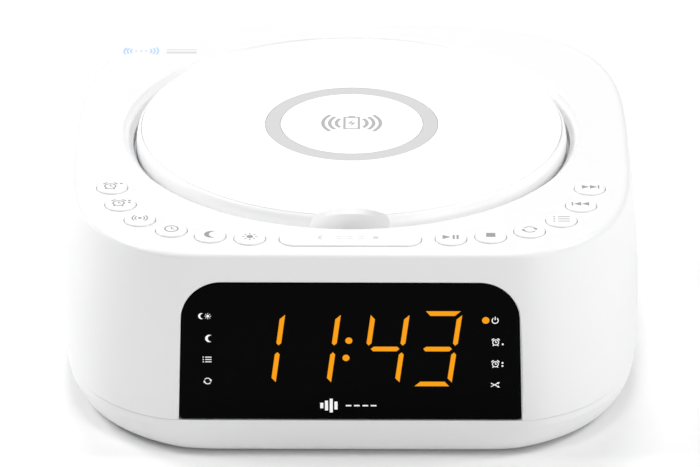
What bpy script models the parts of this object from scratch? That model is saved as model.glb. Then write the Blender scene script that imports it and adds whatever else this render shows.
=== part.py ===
"""Top-loading disc clock radio with a round lift-up lid that carries a wireless charging pad.

Lengths are in millimetres and are turned into metres where the meshes are made. The origin is
on the floor under the middle of the body, +Z is up, and the display faces -Y.
"""
import math

import bmesh
import bpy

MM = 0.001
GAP = 0.3                       # running gap between pieces that nearly touch

# Body: a rounded square that swells like a barrel, with its front cut flat for the display
TOP_Z = 81.5                    # top panel
SEAM_Z = 15.3                   # joint between the upper case and the base
FLOOR_Z = 1.3                   # underside of the base, which stands on its feet
BODY_Y = -3.1                   # middle of the rounded square
BODY_POWER = 3.46               # squareness of the outline
OUTLINE_POINTS = 48
HALF_WIDTH = 106.4
HALF_DEPTH = 106.2
FRONT = 103.4                   # distance of the flat front from the origin
FRONT_BLEND = 1.2               # softness of the corner where the flat front begins
SIDE_FLARE, DEPTH_FLARE, FRONT_FLARE = 3.9, 1.8, 1.35
WIDEST_Z, FRONT_WIDEST_Z = 28.0, 40.0
EDGE_RADIUS = 2.4
WALL = 2.0

# Lid, the dish around it and the disc well under it, all about one upright axis
LID_Y = 3.3
LID_RADIUS = 80.0
LID_TOP_Z = 83.7
LID_RIM_Z = 75.1
LID_EDGE_WIDTH, LID_EDGE_HEIGHT = 2.4, 6.0     # the rim is rounded over a quarter of an ellipse
LID_STEPS = 48
DISH_RADIUS = 85.0
DISH_FOOT_RADIUS = 81.2
DISH_FOOT_Z = 77.3
LEDGE_Z = 74.3
WELL_RADIUS = 66.0
WELL_FLOOR_Z = 62.5
LINER_THICKNESS = 1.6
SCOOP_RADIUS = 23.0             # finger scoop in the lid's front rim
SCOOP_DEPTH = 6.5
RING_INNER, RING_OUTER = 26.6, 32.0
RING_GROOVE = 0.6
RING_GAP = 0.2                  # clearance on each side of the ring in its groove

# Lid hinge, hidden under the rear of the top panel
HINGE_Y = LID_Y + 87.5
HINGE_Z = 75.5
HINGE_ARM_X = 20.0
HINGE_ARM_WIDTH = 6.0
HINGE_PIN_RADIUS = 1.5
HINGE_EYE_RADIUS = 3.2
CHEEK_THICKNESS = 2.0
CHEEK_FRONT, CHEEK_REAR, CHEEK_DROP = 4.0, 5.0, 4.0     # reach of the cheeks round the pin
HINGE_SLOT_NEAR, HINGE_SLOT_FAR = 68.5, 84.0            # slot for an arm, from the lid's axis
HINGE_SLOT_DEPTH, HINGE_SLOT_ROOF = 16.0, 1.4           # below the top panel's surface
HINGE_SLOT_GAP = 0.9
# side view of an arm from the hinge pin: a goose neck that passes under the dish's edge
HINGE_ARM_SIDE = [(1.6, 0.4), (-1.7, -1.0), (-3.8, -4.9), (-11.3, -4.9), (-13.4, 0.2),
                  (-19.5, 0.2), (-19.5, -0.3), (-15.4, -2.4), (-12.9, -8.1), (-4.8, -8.1),
                  (-2.2, -7.2), (1.2, -2.6)]

# Display window in the flat front
WINDOW_HALF_WIDTH = 61.6        # at the seam
WINDOW_TAPER = 0.0005           # share of its width that the window loses per mm of height
WINDOW_TOP_Z = 70.35
WINDOW_CORNER_RADIUS = 14.5
WINDOW_BACK_Y = -100.6
DISPLAY_GAP = 0.4
LED_MODULE_DEPTH = 7.0

# Buttons: round caps on an arc inside the front edge, and a long snooze bar in the middle
BUTTON_RADIUS = 5.6
BUTTON_HOLE_GAP = 0.35
BUTTON_PROUD = 0.8
BUTTON_CHAMFER = 0.4
BUTTON_FLANGE = 1.0             # reach and thickness of the flange that keeps a cap in
BUTTON_STEM_RADIUS = 1.6
BUTTON_STEM_Z = 75.6
BUTTON_POINTS = 16
BUTTON_ROW_HALF_WIDTH, BUTTON_ROW_HALF_DEPTH, BUTTON_ROW_POWER = 88.5, 90.3, 4.0
BUTTON_FIRST_ANGLE, BUTTON_ANGLE_STEP = 21.75, 7.85
SNOOZE_HALF_LENGTH = 25.3
KEY_BOARD_Z = 70.0
BOARD_THICKNESS = 1.6
SWITCH_HEIGHT = 2.9
LEFT_BUTTONS = ["button_brightness", "button_sleep", "button_clock", "button_mode",
                "button_alarm_two", "button_alarm_one"]
RIGHT_BUTTONS = ["button_play_pause", "button_stop", "button_repeat", "button_program",
                 "button_previous", "button_next"]

# Fixings between base and upper case
POSTS = [(58.0, -68.0), (-58.0, -68.0), (62.0, 78.0), (-62.0, 78.0)]
POST_RADIUS = 4.0
POST_FOOT_Z = 16.6
SCREW_SHANK_RADIUS, SCREW_HEAD_RADIUS = 1.3, 2.8
SCREW_HEAD_Z, SCREW_HEAD_HEIGHT, SCREW_LENGTH = 6.4, 1.8, 20.0
PILOT_DEPTH = 14.0

# Base: feet, speakers, main board and backup cell
BASE_WALL = 2.2
BASE_POWER = 3.0
BASE_TURN_Z = 12.8              # below this the base curves in, over a quarter of an ellipse
BASE_INSET, BASE_CURVE_REACH = 0.2, 3.8
BASE_CURVE_TURNS = (0.0, 27.0, 52.0, 70.0, 90.0)        # degrees round that quarter
FOOT_RADIUS, FOOT_RECESS = 7.0, 0.8
FEET = [(70.0, -74.0), (-70.0, -74.0), (70.0, 66.0), (-70.0, 66.0)]
SPEAKER_X, SPEAKER_Y, SPEAKER_RADIUS = 66.0, 0.0, 25.0
SPEAKER_Z, SPEAKER_HEIGHT = 4.8, 22.0
GRILLE_SLOTS, GRILLE_PITCH, GRILLE_SLOT_WIDTH = 7, 5.0, 2.2
MAIN_BOARD_Z = 18.0
CELL_Y, CELL_RADIUS, CELL_THICKNESS = 66.0, 10.0, 3.2
CELL_DOOR_RADIUS = 12.0

# Sockets in the rear wall: x positions, all on one line
JACK_Z = 26.0
DC_X, AUX_X, USB_X = -30.0, -8.0, 16.0
REAR_WALL_Y = 103.0

# Disc mechanism, in lid-centred coordinates
CHASSIS_Z, CHASSIS_THICKNESS = 48.0, 2.0
DISC_SEAT_Z = 66.0
SLED_REST_RADIUS = 24.0         # distance of the lens from the spindle at rest
ROD_X, ROD_Z, ROD_RADIUS = 21.0, 46.0, 1.5
GEAR_MODULE = 1.0
RACK_X, RACK_DEPTH, RACK_TEETH = 28.0, 3.0, 14
GEAR_Y = -40.0
SMALL_TEETH, LARGE_TEETH, PINION_TEETH = 16, 32, 8
PINION_DIRECTION = 30.0         # degrees from +X, from the gear to the motor pinion
ISOLATORS = [(-42.0, -38.0), (-42.0, 20.0), (42.0, 20.0)]


# ---------------------------------------------------------------- scene and helpers

for leftover in list(bpy.data.objects):
    bpy.data.objects.remove(leftover)


def new_collection(name):
    collection = bpy.data.collections.new(name)
    bpy.context.scene.collection.children.link(collection)
    return collection


PARTS = new_collection("clock_radio")
CUTTERS = new_collection("cutters")


def material(name, color, roughness, metallic=0.0):
    made = bpy.data.materials.new(name)
    made.use_nodes = True
    shader = made.node_tree.nodes["Principled BSDF"]
    shader.inputs["Base Color"].default_value = (*color, 1.0)
    shader.inputs["Roughness"].default_value = roughness
    shader.inputs["Metallic"].default_value = metallic
    return made


WHITE = material("white_plastic", (0.86, 0.86, 0.86), 0.35)
INNER = material("inner_plastic", (0.70, 0.70, 0.71), 0.55)
LENS = material("smoked_lens", (0.01, 0.01, 0.012), 0.08)
SILICONE = material("grey_silicone", (0.62, 0.62, 0.63), 0.6)
RUBBER = material("black_rubber", (0.03, 0.03, 0.03), 0.8)
STEEL = material("steel", (0.60, 0.60, 0.62), 0.3, 1.0)
COPPER = material("copper", (0.72, 0.38, 0.20), 0.35, 1.0)
BOARD = material("circuit_board", (0.05, 0.22, 0.10), 0.5)
BLACK = material("black_plastic", (0.03, 0.03, 0.035), 0.45)
AMBER = material("amber_display", (0.90, 0.45, 0.08), 0.4)
FERRITE = material("ferrite", (0.12, 0.12, 0.13), 0.7)
GEAR = material("gear_plastic", (0.80, 0.78, 0.70), 0.5)


def place(name, data, finish=None):
    """Put mesh or curve data in the scene: a part if it has a finish, else a tool for cutting."""
    made = bpy.data.objects.new(name, data)
    if finish is None:
        CUTTERS.objects.link(made)
        made.hide_render = True
        made.display_type = "WIRE"
    else:
        PARTS.objects.link(made)
        data.materials.append(finish)
    return made


def to_mesh(name, bm, finish):
    mesh = bpy.data.meshes.new(name)
    bmesh.ops.recalc_face_normals(bm, faces=bm.faces)
    bm.to_mesh(mesh)
    bm.free()
    mesh.shade_smooth()
    mesh.set_sharp_from_angle(angle=math.radians(35.0))
    return place(name, mesh, finish)


def add_box(bm, low, high):
    made = bmesh.ops.create_cube(bm, size=1.0)["verts"]
    for vert in made:
        for axis in range(3):
            centre = (low[axis] + high[axis]) / 2
            vert.co[axis] = (centre + vert.co[axis] * (high[axis] - low[axis])) * MM


def add_cylinder(bm, foot, radius, length, direction="Z", segments=24):
    """A cylinder that starts at foot and runs along +X, +Y or +Z."""
    made = bmesh.ops.create_cone(bm, cap_ends=True, segments=segments, radius1=radius * MM,
                                 radius2=radius * MM, depth=length * MM)["verts"]
    for vert in made:
        x, y, z = vert.co.x, vert.co.y, vert.co.z + length * MM / 2
        along = {"X": (z, x, y), "Y": (y, z, x), "Z": (x, y, z)}[direction]
        vert.co = [along[axis] + foot[axis] * MM for axis in range(3)]


def box(name, low, high, finish=None):
    bm = bmesh.new()
    add_box(bm, low, high)
    return to_mesh(name, bm, finish)


def boxes(name, corners, finish=None):
    bm = bmesh.new()
    for low, high in corners:
        add_box(bm, low, high)
    return to_mesh(name, bm, finish)


def cylinder(name, foot, radius, length, finish=None, direction="Z", segments=24):
    bm = bmesh.new()
    add_cylinder(bm, foot, radius, length, direction, segments)
    return to_mesh(name, bm, finish)


def cylinders(name, feet, radius, length, finish=None, segments=16):
    bm = bmesh.new()
    for foot in feet:
        add_cylinder(bm, foot, radius, length, "Z", segments)
    return to_mesh(name, bm, finish)


def loft(name, rings, finish=None, cap_first=True, cap_last=True):
    """Skin a stack of rings, each a list of (x, y, z) points of the same count."""
    bm = bmesh.new()
    rows = [[bm.verts.new([value * MM for value in point]) for point in ring] for ring in rings]
    count = len(rows[0])
    for lower, upper in zip(rows, rows[1:]):
        for i in range(count):
            j = (i + 1) % count
            bm.faces.new((lower[i], lower[j], upper[j], upper[i]))
    if cap_first:
        bm.faces.new(rows[0][::-1])
    if cap_last:
        bm.faces.new(rows[-1])
    return to_mesh(name, bm, finish)


def turned(name, profile, finish=None, centre=(0.0, 0.0), steps=48, closed=False):
    """Turn (radius, z) points about an upright axis; the outer side runs from top to bottom."""
    mesh = bpy.data.meshes.new(name)
    count = len(profile)
    edges = [(i, i + 1) for i in range(count - 1)]
    if closed:
        edges.append((count - 1, 0))
    mesh.from_pydata([(radius * MM, 0.0, z * MM) for radius, z in profile], edges, [])
    made = place(name, mesh, finish)
    made.location = (centre[0] * MM, centre[1] * MM, 0.0)
    screw = made.modifiers.new("turn", "SCREW")
    screw.steps = screw.render_steps = steps
    screw.use_merge_vertices = True
    screw.merge_threshold = 0.00001
    screw.use_smooth_shade = False
    return made


def plate(name, outline, bottom, top, finish=None, upright=False):
    """Extrude a flat outline between two heights, or along Y when it stands upright."""
    curve = bpy.data.curves.new(name, "CURVE")
    curve.dimensions = "2D"
    curve.fill_mode = "BOTH"
    curve.extrude = (top - bottom) / 2 * MM
    spline = curve.splines.new("POLY")
    spline.points.add(len(outline) - 1)
    for point, (x, y) in zip(spline.points, outline):
        point.co = (x * MM, y * MM, 0.0, 1.0)
    spline.use_cyclic_u = True
    drawn = bpy.data.objects.new(name + "_outline", curve)
    CUTTERS.objects.link(drawn)
    middle = (top + bottom) / 2 * MM
    if upright:
        drawn.rotation_euler = (math.radians(90.0), 0.0, 0.0)
        drawn.location = (0.0, middle, 0.0)
    else:
        drawn.location = (0.0, 0.0, middle)
    bpy.context.view_layer.update()
    evaluated = drawn.evaluated_get(bpy.context.evaluated_depsgraph_get())
    bm = bmesh.new()
    bm.from_mesh(bpy.data.meshes.new_from_object(evaluated))
    bmesh.ops.transform(bm, matrix=drawn.matrix_world, verts=bm.verts)
    bmesh.ops.remove_doubles(bm, verts=bm.verts, dist=0.00001)
    bpy.data.objects.remove(drawn)
    return to_mesh(name, bm, finish)


def combine(target, tool, operation):
    step = target.modifiers.new(operation.lower() + "_" + tool.name, "BOOLEAN")
    step.operation = operation
    step.object = tool
    return target


def cut(target, tool):
    return combine(target, tool, "DIFFERENCE")


def join(target, tool):
    return combine(target, tool, "UNION")


def arc(centre, radius, start, end, count):
    """Points of an arc between two angles in degrees."""
    points = []
    for i in range(count):
        angle = math.radians(start + (end - start) * i / (count - 1))
        points.append((centre[0] + radius * math.cos(angle), centre[1] + radius * math.sin(angle)))
    return points


def at_height(points, z):
    return [(x, y, z) for x, y in points]


# ---------------------------------------------------------------- outlines

def superellipse_radius(angle, half_width, half_depth, power):
    across = abs(math.cos(angle) / half_width) ** power
    along = abs(math.sin(angle) / half_depth) ** power
    return (across + along) ** (-1.0 / power)


def body_outline(half_width, half_depth, front, power=BODY_POWER):
    points = []
    for i in range(OUTLINE_POINTS):
        angle = 2.0 * math.pi * i / OUTLINE_POINTS
        radius = superellipse_radius(angle, half_width, half_depth, power)
        past_front = (BODY_Y + radius * math.sin(angle) + front) / FRONT_BLEND
        y = -front + FRONT_BLEND * math.log1p(math.exp(past_front))
        points.append((radius * math.cos(angle), y))
    return points


def body_section(z, inset=0.0, power=BODY_POWER):
    """The body's outline at one height, drawn in by inset."""
    rise = ((z - WIDEST_Z) / (TOP_Z - WIDEST_Z)) ** 2
    front_rise = ((z - FRONT_WIDEST_Z) / (TOP_Z - FRONT_WIDEST_Z)) ** 2
    outline = body_outline(HALF_WIDTH - SIDE_FLARE * rise - inset,
                           HALF_DEPTH - DEPTH_FLARE * rise - inset,
                           FRONT - FRONT_FLARE * front_rise - inset, power)
    return at_height(outline, z)


def lid_circle(radius, z):
    points = []
    for i in range(OUTLINE_POINTS):
        angle = 2.0 * math.pi * i / OUTLINE_POINTS
        points.append((radius * math.cos(angle), LID_Y + radius * math.sin(angle), z))
    return points


def body_side_rings():
    """Rings of the outer wall from the seam to the rounded top edge."""
    rings = [body_section(z) for z in (SEAM_Z, WIDEST_Z, 46.0, 65.0, TOP_Z - EDGE_RADIUS)]
    for degrees in (45.0, 90.0):
        turn = math.radians(degrees)
        inset = EDGE_RADIUS * (1.0 - math.cos(turn))
        z = TOP_Z - EDGE_RADIUS * (1.0 - math.sin(turn))
        rings.append(body_section(z, inset))
    return rings


def window_outline(inset=0.0, foot=SEAM_Z):
    """The display window seen from the front, as (x, z) points."""
    half, top = WINDOW_HALF_WIDTH - inset, WINDOW_TOP_Z - inset
    radius = WINDOW_CORNER_RADIUS - inset
    right = arc((half - radius, top - radius), radius, 0.0, 90.0, 7)
    left = arc((radius - half, top - radius), radius, 90.0, 180.0, 7)
    outline = [(half, foot)] + right + left + [(-half, foot)]
    return [(x * (1.0 - WINDOW_TAPER * (z - SEAM_Z)), z) for x, z in outline]


def button_centres():
    """Cap centres from the snooze bar outwards, on the right; the left side mirrors them."""
    centres = []
    for i in range(len(RIGHT_BUTTONS)):
        angle = math.radians(-90.0 + BUTTON_FIRST_ANGLE + BUTTON_ANGLE_STEP * i)
        radius = superellipse_radius(angle, BUTTON_ROW_HALF_WIDTH, BUTTON_ROW_HALF_DEPTH,
                                     BUTTON_ROW_POWER)
        centres.append((radius * math.cos(angle), radius * math.sin(angle)))
    return centres


def cap_outline(centre, half_length, radius):
    """A circle, or a bar with round ends when half_length is larger than radius."""
    reach = half_length - radius
    half = BUTTON_POINTS // 2
    points = []
    for side, start in ((1.0, -90.0), (-1.0, 90.0)):
        for i in range(half):
            angle = math.radians(start + 180.0 * (i + 0.5) / half)
            points.append((centre[0] + side * reach + radius * math.cos(angle),
                           centre[1] + radius * math.sin(angle)))
    return points


# ---------------------------------------------------------------- casing

def make_upper_case():
    rings = body_side_rings()
    rings.append(lid_circle(DISH_RADIUS, TOP_Z))
    rings.append(lid_circle(DISH_FOOT_RADIUS, DISH_FOOT_Z))
    rings.append(lid_circle(DISH_FOOT_RADIUS, LEDGE_Z))
    rings.append(lid_circle(WELL_RADIUS, LEDGE_Z))
    rings.append(lid_circle(WELL_RADIUS, WELL_FLOOR_Z))
    case = loft("upper_case", rings, WHITE, cap_first=False)
    shell = case.modifiers.new("wall", "SOLIDIFY")
    shell.thickness = WALL * MM
    shell.offset = -1.0
    shell.use_even_offset = True

    feet = [(x, y, POST_FOOT_Z) for x, y in POSTS]
    join(case, cylinders("case_posts", feet, POST_RADIUS, TOP_Z - WALL / 2 - POST_FOOT_Z))
    cheeks = []
    for side in (-1.0, 1.0):
        for edge in (-1.0, 1.0):
            near = side * HINGE_ARM_X + edge * (HINGE_ARM_WIDTH / 2 + GAP)
            far = near + edge * CHEEK_THICKNESS
            cheeks.append(((min(near, far), HINGE_Y - CHEEK_FRONT, HINGE_Z - CHEEK_DROP),
                           (max(near, far), HINGE_Y + CHEEK_REAR, TOP_Z - WALL / 2)))
    join(case, boxes("hinge_cheeks", cheeks))

    pilots = [(x, y, POST_FOOT_Z - 1.0) for x, y in POSTS]
    cut(case, cylinders("pilot_holes", pilots, SCREW_SHANK_RADIUS + GAP, PILOT_DEPTH + 1.0))
    cut(case, cylinder("hinge_bores", (-HINGE_ARM_X - 9.0, HINGE_Y, HINGE_Z),
                       HINGE_PIN_RADIUS + GAP, 2 * HINGE_ARM_X + 18.0, direction="X"))
    slots = []
    for side in (-1.0, 1.0):
        middle = side * HINGE_ARM_X
        reach = HINGE_ARM_WIDTH / 2 + HINGE_SLOT_GAP
        slots.append(((middle - reach, LID_Y + HINGE_SLOT_NEAR, TOP_Z - HINGE_SLOT_DEPTH),
                      (middle + reach, LID_Y + HINGE_SLOT_FAR, TOP_Z - HINGE_SLOT_ROOF)))
    cut(case, boxes("hinge_slots", slots))
    cut(case, plate("window_opening", window_outline(foot=SEAM_Z - 5.0), -115.0, -90.0,
                    upright=True))
    cut(case, button_holes())
    cut(case, boxes("pickup_slot", [((-9.0, LID_Y - 64.5, 55.0), (9.0, LID_Y - 5.0, 70.0))]))
    cut(case, cylinder("hub_opening", (0.0, LID_Y, 55.0), 15.0, 15.0))
    cut(case, socket_openings())
    return case


def button_holes():
    bm = bmesh.new()
    for centre, half_length in [((0.0, -BUTTON_ROW_HALF_DEPTH), SNOOZE_HALF_LENGTH)] + [
            ((side * x, y), BUTTON_RADIUS) for side in (-1.0, 1.0) for x, y in button_centres()]:
        outline = cap_outline(centre, half_length + BUTTON_HOLE_GAP,
                              BUTTON_RADIUS + BUTTON_HOLE_GAP)
        rows = [[bm.verts.new((x * MM, y * MM, z * MM)) for x, y in outline]
                for z in (TOP_Z - 5.0, TOP_Z + 3.0)]
        count = len(outline)
        for i in range(count):
            j = (i + 1) % count
            bm.faces.new((rows[0][i], rows[0][j], rows[1][j], rows[1][i]))
        bm.faces.new(rows[0][::-1])
        bm.faces.new(rows[1])
    return to_mesh("button_holes", bm, None)


def socket_openings():
    bm = bmesh.new()
    start = REAR_WALL_Y - 6.0
    add_cylinder(bm, (DC_X, start, JACK_Z), 4.3, 12.0, "Y", 32)
    add_cylinder(bm, (AUX_X, start, JACK_Z), 3.7, 12.0, "Y", 32)
    add_box(bm, (USB_X - 7.0, start, JACK_Z - 3.3), (USB_X + 7.0, start + 12.0, JACK_Z + 3.3))
    return to_mesh("socket_openings", bm, None)


def make_base_case():
    rings = [body_section(SEAM_Z - GAP, BASE_INSET)]
    for degrees in BASE_CURVE_TURNS:
        share = math.sin(math.radians(degrees))
        z = BASE_TURN_Z - (BASE_TURN_Z - FLOOR_Z) * share
        inset = BASE_INSET + BASE_CURVE_REACH * (1.0 - math.cos(math.radians(degrees)))
        rings.append(body_section(z, inset, BODY_POWER + (BASE_POWER - BODY_POWER) * share))
    base = loft("base_case", rings[::-1], WHITE, cap_last=False)
    shell = base.modifiers.new("wall", "SOLIDIFY")
    shell.thickness = BASE_WALL * MM
    shell.offset = -1.0
    shell.use_even_offset = True

    bosses = [(x, y, FLOOR_Z + 1.0) for x, y in POSTS]
    join(base, cylinders("screw_bosses", bosses, 5.0, POST_FOOT_Z - GAP - FLOOR_Z - 1.0))
    rests = [(x, y, FLOOR_Z + 1.0) for x in (-38.0, 38.0) for y in (-14.0, 90.0)]
    join(base, cylinders("board_rests", rests, 3.0, MAIN_BOARD_Z - GAP - FLOOR_Z - 1.0))
    cup = cylinder("cell_cup", (0.0, CELL_Y, FLOOR_Z + 1.0), CELL_DOOR_RADIUS + 2.4, 8.0)
    join(base, cup)

    cut(base, cylinder("cell_room", (0.0, CELL_Y, 0.0), CELL_DOOR_RADIUS + 0.4, 20.0))
    holes = [(x, y, 0.0) for x, y in POSTS]
    cut(base, cylinders("screw_holes", holes, SCREW_SHANK_RADIUS + GAP, 20.0))
    cut(base, cylinders("screw_recesses", holes, SCREW_HEAD_RADIUS + 0.4,
                        SCREW_HEAD_Z + SCREW_HEAD_HEIGHT + GAP))
    recesses = [(x, y, 0.0) for x, y in FEET]
    cut(base, cylinders("foot_recesses", recesses, FOOT_RADIUS + GAP, FLOOR_Z + FOOT_RECESS))
    slots = []
    for side in (-1.0, 1.0):
        for i in range(GRILLE_SLOTS):
            offset = (i - (GRILLE_SLOTS - 1) / 2) * GRILLE_PITCH
            reach = math.sqrt((SPEAKER_RADIUS - 5.0) ** 2 - offset ** 2)
            x, y = side * SPEAKER_X + offset, SPEAKER_Y
            slots.append(((x - GRILLE_SLOT_WIDTH / 2, y - reach, 0.0),
                          (x + GRILLE_SLOT_WIDTH / 2, y + reach, 8.0)))
    cut(base, boxes("speaker_grilles", slots))
    return base


def make_display_window():
    """The smoked lens: the part of the body's front that lies inside the window outline."""
    rings = body_side_rings()
    lens = plate("display_window", window_outline(DISPLAY_GAP, SEAM_Z + 0.2), -115.0,
                 WINDOW_BACK_Y, LENS, upright=True)
    skin = loft("lens_front", rings)
    for vert in skin.data.vertices:
        vert.co.y += 0.0003
    return combine(lens, skin, "INTERSECT")


def make_feet():
    names = ["foot_front_right", "foot_front_left", "foot_rear_right", "foot_rear_left"]
    top = FLOOR_Z + FOOT_RECESS - GAP
    for name, centre in zip(names, FEET):
        profile = [(0.0, top), (FOOT_RADIUS, top), (FOOT_RADIUS, 0.6), (FOOT_RADIUS - 0.6, 0.0),
                   (0.0, 0.0)]
        turned(name, profile, RUBBER, centre, steps=24)


def make_screws():
    names = ["case_screw_front_right", "case_screw_front_left", "case_screw_rear_right",
             "case_screw_rear_left"]
    head_top = SCREW_HEAD_Z + SCREW_HEAD_HEIGHT
    tip = head_top - 0.4 + SCREW_LENGTH
    profile = [(0.0, tip), (SCREW_SHANK_RADIUS, tip - 0.6), (SCREW_SHANK_RADIUS, head_top),
               (SCREW_HEAD_RADIUS, head_top), (SCREW_HEAD_RADIUS, SCREW_HEAD_Z + 0.6),
               (SCREW_HEAD_RADIUS - 0.7, SCREW_HEAD_Z), (0.9, SCREW_HEAD_Z),
               (0.0, SCREW_HEAD_Z + 0.9)]
    for name, centre in zip(names, POSTS):
        turned(name, profile, STEEL, centre, steps=12)


# ---------------------------------------------------------------- lid

def scoop(name, margin, low, high):
    """The round bite that the finger scoop takes out of the lid's front rim."""
    centre_y = LID_Y - LID_RADIUS + SCOOP_DEPTH - SCOOP_RADIUS
    return cylinder(name, (0.0, centre_y, low), SCOOP_RADIUS + margin, high - low, segments=48)


def make_lid_cover():
    edge = [(LID_RADIUS - LID_EDGE_WIDTH * (1.0 - x), LID_TOP_Z - LID_EDGE_HEIGHT * (1.0 - z))
            for x, z in arc((0.0, 0.0), 1.0, 90.0, 0.0, 6)]
    groove = LID_TOP_Z - RING_GROOVE
    near, far = RING_INNER - RING_GAP, RING_OUTER + RING_GAP
    profile = [(0.0, LID_TOP_Z), (near, LID_TOP_Z), (near, groove), (far, groove),
               (far, LID_TOP_Z)]
    profile += edge + [(LID_RADIUS, LID_RIM_Z), (0.0, LID_RIM_Z)]
    cover = turned("lid_cover", profile, WHITE, (0.0, LID_Y), LID_STEPS)
    cut(cover, scoop("finger_scoop", 0.0, LID_RIM_Z - 2.0, LID_TOP_Z + 2.0))
    hollow = turned("lid_hollow", [(0.0, LID_TOP_Z - WALL), (LID_RADIUS - WALL, LID_TOP_Z - WALL),
                                   (LID_RADIUS - WALL, LID_RIM_Z - 1.0), (0.0, LID_RIM_Z - 1.0)],
                    None, (0.0, LID_Y), LID_STEPS)
    cut(hollow, scoop("scoop_wall", WALL, LID_RIM_Z - 3.0, LID_TOP_Z + 2.0))
    return cut(cover, hollow)


def make_lid_liner():
    """The lid's inner cover, with the two goose-neck hinge arms moulded on."""
    radius = LID_RADIUS - WALL - GAP - 0.3
    liner = cylinder("lid_liner", (0.0, LID_Y, LID_RIM_Z), radius, LINER_THICKNESS, INNER,
                     segments=LID_STEPS)
    cut(liner, scoop("liner_scoop", WALL + GAP + 0.3, LID_RIM_Z - 2.0, LID_TOP_Z))
    for side, name in ((-1.0, "arm_left"), (1.0, "arm_right")):
        middle = side * HINGE_ARM_X
        outline = [(HINGE_Y + y, HINGE_Z + z) for y, z in HINGE_ARM_SIDE]
        arm = plate(name, outline, -HINGE_ARM_WIDTH / 2, HINGE_ARM_WIDTH / 2)
        for vert in arm.data.vertices:
            y, z, x = vert.co
            vert.co = (x + middle * MM, y, z)
        join(liner, arm)
        join(liner, cylinder(name + "_eye", (middle - HINGE_ARM_WIDTH / 2, HINGE_Y, HINGE_Z),
                             HINGE_EYE_RADIUS, HINGE_ARM_WIDTH, direction="X"))
    cut(liner, cylinder("eye_bores", (-HINGE_ARM_X - 6.0, HINGE_Y, HINGE_Z),
                        HINGE_PIN_RADIUS + GAP, 2 * HINGE_ARM_X + 12.0, direction="X"))
    return liner


def make_hinge_pins():
    length = HINGE_ARM_WIDTH + 2 * (GAP + CHEEK_THICKNESS)
    for side, name in ((-1.0, "hinge_pin_left"), (1.0, "hinge_pin_right")):
        cylinder(name, (side * HINGE_ARM_X - length / 2, HINGE_Y, HINGE_Z), HINGE_PIN_RADIUS,
                 length, STEEL, direction="X")


def make_charger():
    groove = LID_TOP_Z - RING_GROOVE + GAP / 2
    turned("charging_ring", [(RING_INNER, LID_TOP_Z), (RING_OUTER, LID_TOP_Z),
                             (RING_OUTER, groove), (RING_INNER, groove)],
           SILICONE, (0.0, LID_Y), 48, closed=True)
    coil_z = LID_TOP_Z - WALL - GAP
    turned("charging_coil", [(10.0, coil_z), (21.0, coil_z), (21.0, coil_z - 1.2),
                             (10.0, coil_z - 1.2)], COPPER, (0.0, LID_Y), 32, closed=True)
    shield_z = coil_z - 1.2 - GAP
    cylinder("coil_shield", (0.0, LID_Y, shield_z - 0.8), 24.0, 0.8, FERRITE, segments=32)
    board_z = LID_RIM_Z + LINER_THICKNESS + GAP
    box("charger_board", (-30.0, LID_Y + 30.0, board_z),
        (30.0, LID_Y + 58.0, board_z + BOARD_THICKNESS), BOARD)


# ---------------------------------------------------------------- buttons and display

def make_button(name, centre, half_length):
    panel_back = TOP_Z - WALL
    stem = half_length - BUTTON_RADIUS + BUTTON_STEM_RADIUS
    flange = BUTTON_RADIUS + BUTTON_FLANGE
    cap_top = TOP_Z + BUTTON_PROUD
    sections = [(BUTTON_STEM_Z, stem, BUTTON_STEM_RADIUS),
                (panel_back - GAP - 1.0, stem, BUTTON_STEM_RADIUS),
                (panel_back - GAP - 1.0, half_length + BUTTON_FLANGE, flange),
                (panel_back - GAP, half_length + BUTTON_FLANGE, flange),
                (panel_back - GAP, half_length, BUTTON_RADIUS),
                (cap_top - BUTTON_CHAMFER, half_length, BUTTON_RADIUS),
                (cap_top, half_length - BUTTON_CHAMFER, BUTTON_RADIUS - BUTTON_CHAMFER)]
    rings = [at_height(cap_outline(centre, length, radius), z) for z, length, radius in sections]
    return loft(name, rings, WHITE)


def make_buttons():
    make_button("snooze_bar", (0.0, -BUTTON_ROW_HALF_DEPTH), SNOOZE_HALF_LENGTH)
    for (x, y), left, right in zip(button_centres(), LEFT_BUTTONS, RIGHT_BUTTONS):
        make_button(left, (-x, y), BUTTON_RADIUS)
        make_button(right, (x, y), BUTTON_RADIUS)


def key_strip_edge(inset, start, end, count):
    points = []
    for i in range(count):
        angle = math.radians(start + (end - start) * i / (count - 1))
        radius = superellipse_radius(angle, BUTTON_ROW_HALF_WIDTH - inset,
                                     BUTTON_ROW_HALF_DEPTH - inset, BUTTON_ROW_POWER)
        points.append((radius * math.cos(angle), radius * math.sin(angle)))
    return points


def make_key_board():
    """A horseshoe board under the button row, with one switch below each stem."""
    outline = key_strip_edge(-6.0, 206.0, 334.0, 25) + key_strip_edge(7.0, 334.0, 206.0, 25)
    board = plate("key_board", outline, KEY_BOARD_Z, KEY_BOARD_Z + BOARD_THICKNESS, BOARD)
    places = [(side * x, y) for side in (-1.0, 1.0) for x, y in button_centres()]
    places.append((0.0, -BUTTON_ROW_HALF_DEPTH))
    foot = KEY_BOARD_Z + BOARD_THICKNESS / 2
    top = KEY_BOARD_Z + BOARD_THICKNESS + SWITCH_HEIGHT
    switches = [((x - 3.0, y - 3.0, foot), (x + 3.0, y + 3.0, top)) for x, y in places]
    return join(board, boxes("switches", switches))


def make_display():
    module_front = WINDOW_BACK_Y + 0.5
    module_back = module_front + LED_MODULE_DEPTH
    box("led_display", (-44.0, module_front, 25.0), (52.0, module_back, 63.0), AMBER)
    box("display_board", (-56.0, module_back + GAP, 20.0),
        (56.0, module_back + GAP + BOARD_THICKNESS, 67.0), BOARD)


# ---------------------------------------------------------------- base contents and sockets

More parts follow.
